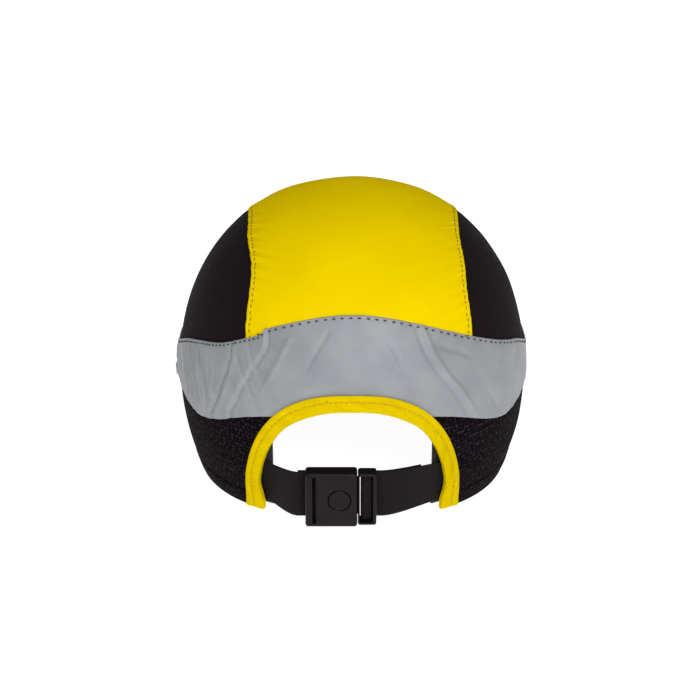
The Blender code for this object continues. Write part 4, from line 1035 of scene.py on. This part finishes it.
def helperLathe(profile, around=64):
    # a closed turned solid on the button's axis
    faces = gridFaces(around, len(profile), True).tolist()
    return linked("helper", cleaned(rawMesh("helper", latheY(profile, around), faces)))


def settled(obj):
    # the mesh as its modifiers leave it
    made = bpy.data.meshes.new_from_object(obj.evaluated_get(bpy.context.evaluated_depsgraph_get()))
    obj.modifiers.clear()
    obj.data = made


def carve(name, base, cuts, look, body, replaced, joined=(), softEdge=0.0):
    # joins and cuts by Boolean, then softens the sharp edges that are left, and keeps only the finished mesh
    for helper, operation in [(j, "UNION") for j in joined] + [(c, "DIFFERENCE") for c in cuts]:
        change = base.modifiers.new(operation.lower(), "BOOLEAN")
        change.operation, change.solver, change.object = operation, "EXACT", helper
    settled(base)
    for helper in (*joined, *cuts):
        bpy.data.objects.remove(helper)
    if softEdge:
        soft = base.modifiers.new("softEdge", "BEVEL")
        soft.width, soft.segments, soft.limit_method, soft.angle_limit = (
            softEdge * toMetres, 3, "ANGLE", math.radians(40.0))
        settled(base)
    mesh = base.data
    mesh.polygons.foreach_set("use_smooth", [True] * len(mesh.polygons))
    mesh.set_sharp_from_angle(angle=math.radians(32.0))
    mesh.materials.clear()
    mesh.materials.append(look)
    base.name = mesh.name = name
    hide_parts(*replaced)
    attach(base, body)


def buildBuckle():
    # body, plug, button and spring: boxes with their holes cut, a turned button and a coil
    tall, deep = buckle["tall"], buckle["deep"]
    radius = buckle["buttonRadius"] + 0.3
    cuts = [helperBox(*cut) for cut in buckle["bodyCuts"]]
    cuts.append(helperLathe([(0.0, 4.9), (radius, 4.9), (radius, deep - 0.35), (radius + 0.35, deep),
        (radius + 0.35, deep + 2.0), (0.0, deep + 2.0)]))
    cuts.append(helperLathe([(0.0, 3.0), (1.8, 3.0), (1.8, 6.0), (0.0, 6.0)], 24))
    base = helperBox((buckle["mouth"], 0.0, -tall), (buckle["left"], deep, tall), 1.5)
    carve("buckleBody", base, cuts, looks["buckle"], "cap", ["buckle_body"], (),
        buckle["softEdge"])
    cuts = [helperBox(*cut) for cut in buckle["plugCuts"]]
    tongue = helperBox((-3.2, 1.9, -10.2), (10.5, 3.9, 10.2))
    base = helperBox((-12.3, 0.3, 0.5 - tall), (-2.8, deep - 1.0, tall - 0.5), 1.2)
    carve("buckleRail", base, cuts, looks["buckle"], "plug", ["buckle_plug"],
        (tongue,), 0.22)
    face, edge = deep + 0.2, buckle["buttonRadius"]
    profile = [(0.0, 5.5), (1.4, 5.5), (1.4, 7.75), (edge, 7.75), (edge, face - 0.75)]
    profile += [(edge - 0.5 + 0.5 * math.cos(t), face - 0.55 + 0.5 * math.sin(t))
        for t in np.linspace(0.2, 0.5 * pi, 6)]
    profile += [(edge - 1.3, face - 0.2), (edge - 2.4, face - 0.3), (2.0, face - 0.38), (0.8, face - 0.4),
        (0.0, face - 0.4)]
    cap = latheY(profile)
    putMesh("pressButton", cap, gridFaces(64, len(profile), True).tolist(), looks["buckle"],
        "button", ["buckle_button"]).data.set_sharp_from_angle(angle=math.radians(40.0))
    turn = np.linspace(0.0, 5.0 * pi, 120)[:, None]
    around = np.linspace(0.0, 2.0 * pi, 8, endpoint=False)[None, :]
    coil = 2.35 + 0.22 * np.cos(around)
    rows = np.stack([coil * np.cos(turn), 5.35 + 2.15 * turn / (5.0 * pi) + 0.22 * np.sin(around),
        coil * np.sin(turn)], axis=-1)
    spring = carried("returnSpring", rows + np.array([buckle["buttonX"], buckleY, strapCloth["midZ"]]),
        looks["steel"], ["button_spring"])
    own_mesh(spring)


# padded pieces: thick in the middle and closed round the edge
lining = {"rim": -2.65, "inner": -5.75, "thick": 2.5, "top": 46.0, "endX": 44.2, "padOut": -5.65,
    "padThick": 5.0}


def plump(distance, radius):
    # quarter circle: nothing at the edge and full a radius away
    return np.sqrt(1.0 - (1.0 - np.clip(distance / radius, 0.0, 1.0)) ** 2)


def pillow(name, grid, outer, thick, radius, look, replaced, dents, seed, channel=0.0):
    # the outer face lies against the cap and the inner face swells toward the head
    lengthU, lengthV = lengthAlong(grid, 0), lengthAlong(grid, 1)
    edge = np.minimum(lengthV, lengthV[:, -1:] - lengthV)
    edge = np.minimum(edge, np.minimum(lengthU, lengthU[-1:] - lengthU))
    full = plump(edge, radius)
    sunk = channel * np.exp(-((edge - 1.6 * radius) / 0.9) ** 2)
    half = 0.5 * thick * full
    middle = outer - 0.5 * thick
    inner = middle - half + sunk + dents * full * waves(lengthU, lengthV, seed, 22.0)
    obj = clothSheet(name, grid, middle + half, np.minimum(inner, middle + half), look, replaced)


def buildSweatband():
    # rows at each height from one leg of the arch round to the other, set inward past the rim
    share = np.concatenate([np.linspace(0.0, 0.004, 5)[:-1], np.linspace(0.004, 0.996, 420),
        np.linspace(0.996, 1.0, 5)[1:]])
    edgeZ = np.array([0.0, 0.2, 0.5, 0.9, 1.3])
    heights = np.concatenate([0.8 + edgeZ, np.linspace(3.0, lining["top"] - 2.2, 40),
        lining["top"] - edgeZ[::-1]])
    rows = []
    for height in heights:
        first = angleOf(atXz(lining["endX"], height, 1))
        angle = first + share * (2.0 * pi - 2.0 * first)
        line = atAngle(angle, height)
        rise = rimHeight(line[:, 0], line[:, 1]) * (1.0 - height / lining["top"]) ** 0.5
        rows.append(atAngle(angle, height + rise))
    grid = np.stack(rows, axis=1)
    height = grid[..., 2] - rimHeight(grid[..., 0], grid[..., 1])
    rear = 1.0 - ease(np.degrees(np.abs(angleOf(grid))), 52.0, 72.0)
    outer = lining["rim"] + (lining["inner"] - lining["rim"]) * np.maximum(ease(height, 10.0, 15.0), rear)
    pillow("sweatBand", grid, outer, lining["thick"], 1.2, looks["terry"], ["sweatband"],
        dents=0.12, seed=101)


def buildPads():
    # four pads with rounded ends and a round one at the top, each crowned toward the head
    spots = {
        "frontPad": (148.0, 212.0, 51.0, 92.0, "front_pad"),
            "sidePadLeft": (62.0, 118.0, 51.0, 92.0, "side_pad_left"),
        "sidePadRight": (-118.0, -62.0, 51.0, 92.0, "side_pad_right"),
            "rearPad": (-26.0, 26.0, 68.5, 98.5, "rear_pad"),
    }
    for number, (name, (first, last, low, high, node)) in enumerate(spots.items()):
        # the outline is a rounded rectangle: the heights close in toward the two ends
        u = np.linspace(-1.0, 1.0, 110)[:, None]
        close = (1.0 - np.abs(u) ** 9.0) ** (1.0 / 9.0) * 0.5 + 0.5
        middle, half = 0.5 * (low + high), 0.5 * (high - low)
        angle = np.radians(0.5 * (first + last) + 0.5 * (last - first) * u)
        grid = atAngle(angle, middle + half * close * np.linspace(-1.0, 1.0, 60)[None, :])
        pillow(name, grid, lining["padOut"], lining["padThick"], 3.2, looks["foam"], [node],
            dents=0.15, seed=120 + number, channel=0.9)
    turn = np.linspace(0.0, 2.0 * pi, 160, endpoint=False)[:, None]
    radius = np.linspace(0.0, 36.0, 60)[None, :]
    flat = np.stack([radius * np.cos(turn), radius * np.sin(turn), np.full((160, 60), crownForm["height"])],
        axis=-1)
    grid = thrown(flat)
    grid[:, 0] = grid[:, 0].mean(axis=0)
    edge = 36.0 - radius + 0.0 * turn
    half = 0.5 * lining["padThick"] * plump(edge, 3.2)
    middle = lining["padOut"] - 0.5 * lining["padThick"]
    sunk = 0.9 * (np.exp(-((edge - 5.1) / 0.9) ** 2) + np.exp(-((edge - 18.0) / 0.9) ** 2))
    obj = clothSheet("crownPad", grid, middle + half, np.minimum(middle - half + sunk, middle + half),
        looks["foam"], ["crown_pad"], True)


# tapes, tabs and label inside
def axesAt(centre):
    # outward, level and up at a point of the form
    normal = outward(centre)
    level = madeOne(np.cross(np.array([0.0, 0.0, 1.0]), normal))
    return normal, level, np.cross(normal, level)


def localPatch(centre, wide, tall, count):
    # flat grid about a point of the form, thrown onto the form from its middle
    _, level, up = axesAt(centre)
    share = np.linspace(-0.5, 0.5, count)
    flat = centre + level * (share * wide)[:, None, None] + up * (share * tall)[None, :, None]
    return thrown(flat)


def buildTapes():
    # a strip over each long seam, inside
    for name, side, node in (("seamTapeLeft", 1, "seam_tape_left"), ("seamTapeRight", -1, "seam_tape_right")):
        x = (side * seamX + np.linspace(-6.0, 6.0, 14))[:, None]
        rear = atXz(x, float(bandMiddle(0.5)), 1)
        front = atXz(x, rimHeight(x, -1.0) + 10.1, -1)
        share = np.linspace(0.0, 1.0, 180)[None, :]
        grid = overTop(x, turnOf(rear) * (1.0 - share) + turnOf(front) * share)
        top = -1.75 + 0.0 * grid[..., 0]
        obj = clothSheet(name, grid, top, top - 0.5, looks["blackTape"], [node])


def buildTabs():
    # four small squares between the shell and the cloth
    places = (("hookTabFront", pi, 59.0, "hook_tab_front"), ("hookTabRear", 0.0, 97.5, "hook_tab_rear"),
        ("hookTabLeft", 0.5 * pi, 77.0, "hook_tab_left"), ("hookTabRight", -0.5 * pi, 77.0, "hook_tab_right"))
    for name, angle, level, node in places:
        grid = localPatch(atAngle(angle, level), 20.0, 20.0, 40)
        top = np.full(grid.shape[:2], -1.45)
        obj = clothSheet(name, grid, top, top - 1.0 + 0.12 * np.random.default_rng(7).random(top.shape),
            looks["hooks"], [node])


def buildLabel():
    # a blank label with a slight wave, on the sweatband
    grid = localPatch(atAngle(math.radians(-58.0), 24.0), 22.0, 30.0, 36)
    up = lengthAlong(grid, 1)
    top = -8.6 - 0.12 * (1.0 - np.cos(2.0 * pi * up / 30.0))
    obj = clothSheet("careLabel", grid, top, top - 0.2, looks["label"], ["care_label"])


# hard shell
shellForm = {"out": -2.85, "thick": 2.0, "edge": 30.0, "ventWide": 8.0, "ventLong": 26.0, "ventAt": 115.0}


def ventCutter(angle):
    # long hole with half-circle ends, cut along the outward direction
    centre = atAngle(angle, shellForm["ventAt"])
    normal, along, up = axesAt(centre)
    count = 40
    turn = np.linspace(0.0, 2.0 * pi, count, endpoint=False)
    radius, straight = 0.5 * shellForm["ventWide"], 0.5 * (shellForm["ventLong"] - shellForm["ventWide"])
    rise = radius * np.sin(turn) + np.where(np.sin(turn) >= -1e-9, straight, -straight)
    ring = centre + along * (radius * np.cos(turn))[:, None] + up * rise[:, None]
    points = np.concatenate([ring - normal * 12.0, ring + normal * 3.0])
    faces = [list(range(count - 1, -1, -1)), list(range(count, 2 * count))]
    faces += [[i, (i + 1) % count, count + (i + 1) % count, count + i] for i in range(count)]
    return linked("helper", cleaned(rawMesh("helper", points, faces), merge=False))


def buildShell():
    # two layers of the form a set distance inside it, with its vents cut
    around, tall = 160, 44
    angle = np.linspace(0.0, 2.0 * pi, around, endpoint=False)[:, None]
    turned = np.degrees(np.abs((angle + pi) % (2.0 * pi) - pi))
    edge = shellForm["edge"] + (arch["height"] + 1.5 - shellForm["edge"]) * (1.0 - ease(turned, 38.0, 78.0))
    first = np.arcsin(np.clip(upShare(edge), -1.0, 1.0))
    up = np.sin(first + (0.5 * pi - first) * np.linspace(0.0, 1.0, tall)[None, :])
    grid = atAngle(angle, crownForm["widestAt"] + (crownForm["height"]
        - crownForm["widestAt"]) * np.minimum(up, 1.0))
    layers = []
    for depth in (shellForm["out"], shellForm["out"] - shellForm["thick"]):
        face = lift(grid, np.full(grid.shape[:2], depth))
        face[:, -1] = np.array([0.0, 0.0, crownForm["height"] + depth])
        layers.append(face.reshape(-1, 3))
    # the top is one point, so only the lower edge has a wall
    faces = sheetFaces(around, tall, True, (0,))
    base = linked("helper", cleaned(rawMesh("helper", np.concatenate(layers), faces)))
    cuts = [ventCutter(math.radians(d)) for d in (-150.0, -112.0, -68.0, -32.0, 32.0, 68.0, 112.0, 150.0)]
    carve("hardShell", base, cuts, looks["shell"], "cap", ["shell"])


# peak
def peakPoint(u, share, inset, height):
    # from the crown's front outward by a share of the peak's reach, falling a little faster than in a straight
    # line
    ends = 1.0 - inset / peak["halfWidth"]
    x = peak["halfWidth"] * u * ends
    crest = rimHeight(x, -1.0) + peak["level"]
    inner = lift(atXz(x, crest + 4.0, -1), np.full(x.shape, peak["clear"]))
    reach = peak["reach"] * (1.0 - np.abs(x / peak["halfWidth"]) ** 2.6) ** 0.8 + peak["end"]
    reach = np.maximum(reach - inset, 0.6)
    droop = peak["droop"] * (reach * share / peak["reach"]) ** 1.3
    return np.stack([inner[..., 0] * (1.0 + 0.02 * share), inner[..., 1] - reach * share,
        crest - droop + height], axis=-1), reach


def peakSlab(name, low, high, look, node, rows=()):
    # two faces of one layer, the outer one with a groove along each row of stitches
    countU, countV = 220, 60
    u, share = np.meshgrid(np.sin(np.linspace(-0.5 * pi, 0.5 * pi, countU)), np.linspace(0.0, 1.0, countV),
        indexing="ij")
    _, reach = peakPoint(u, share, 1.2, 0.0)
    edge = reach * (1.0 - share)
    sunk = 0.0 * edge
    for row in rows:
        sunk = sunk + 0.28 * np.exp(-((edge - row) / 0.7) ** 2)
    upward = 1.0 if high > 0.0 else -1.0
    near, far = (high, low) if upward > 0.0 else (low, high)
    upper, _ = peakPoint(u, share, 1.2, near - upward * sunk)
    under, _ = peakPoint(u, share, 1.2, far + 0.0 * sunk)
    flow = np.concatenate([upper[..., :2].reshape(-1, 2)] * 2)
    points = np.concatenate([upper.reshape(-1, 3), under.reshape(-1, 3)])
    return putMesh(name, points, sheetFaces(countU, countV), look, "cap", [node], flow)


def buildPeak():
    # board, two covers with rows of stitches, and a folded tape round the outline
    rows = (7.0, 12.5, 18.0, 23.5)
    peakSlab("peakBoard", -0.9, 0.9, looks["board"], "peak_board")
    top = peakSlab("peakCoverTop", 1.2, 2.0, looks["yellow"], "peak_cover_top", rows)
    under = peakSlab("peakCoverUnder", -2.0, -1.2, looks["fineMesh"], "peak_cover_under",
        rows)
    for row in rows:
        u = np.linspace(-0.985, 0.985, 500)
        _, reach = peakPoint(u, 0.0 * u, 1.2, 0.0)
        keep = reach > row + 3.0
        line, _ = peakPoint(u[keep], 1.0 - row / reach[keep], 1.2, 1.78)
        up = np.zeros_like(line)
        up[:, 2] = 1.0
        stitchRow("peakStitches" + str(int(row)), line, up, looks["threadYellow"],
            {"pitch": 2.9, "long": 2.3, "thick": 0.24})
    skin, inside = 3.0, 2.3
    fold = [(4.0, inside), (4.0, 0.5 * (skin + inside)), (4.0, skin)]
    fold += [(d, skin + 0.12 * math.sin(pi * d / 4.0)) for d in (3.6, 3.0, 2.3, 1.6, 1.0)]
    fold += [(0.9 - 0.9 * math.cos(t) if abs(math.sin(t)) < 1.0 else 0.9, skin * math.sin(t))
        for t in np.linspace(0.5 * pi, -0.5 * pi, 15)]
    fold += [(d, -skin - 0.12 * math.sin(pi * d / 4.0)) for d in (1.0, 1.6, 2.3, 3.0, 3.6)]
    fold += [(4.0, -skin), (4.0, -0.5 * (skin + inside)), (4.0, -inside), (0.8, -inside), (0.8, inside)]
    u = np.sin(np.linspace(-0.5 * pi, 0.5 * pi, 360))
    sections = np.stack([peakPoint(u, np.ones_like(u), inset, height)[0] for inset, height in fold], axis=1)
    tape = carried("peakPiping", sections, looks["yellow"], ["peak_piping"])


buildStraps()
buildBuckle()
print("straps and buckle ready")
buildSweatband()
buildPads()
buildTapes()
buildTabs()
buildLabel()
buildShell()
buildPeak()
print("lining, shell and peak ready")


# stage, light and camera
studio = {"elevation": 22.0, "azimuth": 0.0, "distance": 1150.0, "target": (0.0, 0.0, 60.0), "lens": 108.0,
    "shift": (-0.0034, -0.0071), "skyLight": 0.22, "floorGlow": 0.96}


def buildStudio():
    # pale floor and sky, two area lights, and the camera aimed by its elevation and azimuth
    floor = bpy.data.meshes.new("floor")
    size, level = 6.0, -0.0004  # in metres
    corners = [(-size, -size, level), (size, -size, level), (size, size, level), (-size, size, level)]
    floor.from_pydata(corners, [], [(0, 1, 2, 3)])
    ground = linked("floor", floor)
    look, _, shader = newLook("paleFloor", (0.45, 0.45, 0.45), 0.9, Specular_IOR_Level=0.0)
    shader.inputs["Emission Color"].default_value = (1.0, 1.0, 1.0, 1.0)
    shader.inputs["Emission Strength"].default_value = studio["floorGlow"]
    floor.materials.append(look)
    world = bpy.data.worlds.new("studio")
    world.use_nodes = True
    tree = world.node_tree
    seen = addNode(tree, "ShaderNodeLightPath").outputs["Is Camera Ray"]
    tree.nodes["Background"].inputs["Color"].default_value = (1.0, 1.0, 1.0, 1.0)
    strength = calc(tree, "ADD", calc(tree, "MULTIPLY", seen, 1.0 - studio["skyLight"]), studio["skyLight"])
    tree.links.new(strength, tree.nodes["Background"].inputs["Strength"])
    bpy.context.scene.world = world
    for name, place, power, size in (
        ("keyLight", (-0.36, 1.38, 1.05), 14.5, 0.5),
        ("topLight", (0.3, 0.85, 1.6), 6.0, 0.6),
    ):
        data = bpy.data.lights.new(name, "AREA")
        data.energy, data.size = power, size
        lamp = linked(name, data)
        lamp.location = place
        aim = np.array([0.0, 0.03, 0.07]) - np.array(place)
        lamp.rotation_euler = (math.acos(aim[2] / np.linalg.norm(aim)) + pi, 0.0,
            math.atan2(aim[1], aim[0]) + 0.5 * pi)
    camData = bpy.data.cameras.new("camera")
    camData.lens, camData.sensor_width = studio["lens"], 36.0
    camData.shift_x, camData.shift_y = studio["shift"]
    cam = linked("camera", camData)
    up, round_ = math.radians(studio["elevation"]), math.radians(studio["azimuth"])
    way = np.array([math.sin(round_) * math.cos(up), math.cos(round_) * math.cos(up), math.sin(up)])
    target = np.array(studio["target"]) + fromMiddle
    cam.location = (target + way * studio["distance"]) * toMetres
    cam.rotation_euler = (0.5 * pi - up, 0.0, pi - round_)
    bpy.context.scene.camera = cam
    bpy.context.scene.view_settings.view_transform = "Standard"


buildStudio()
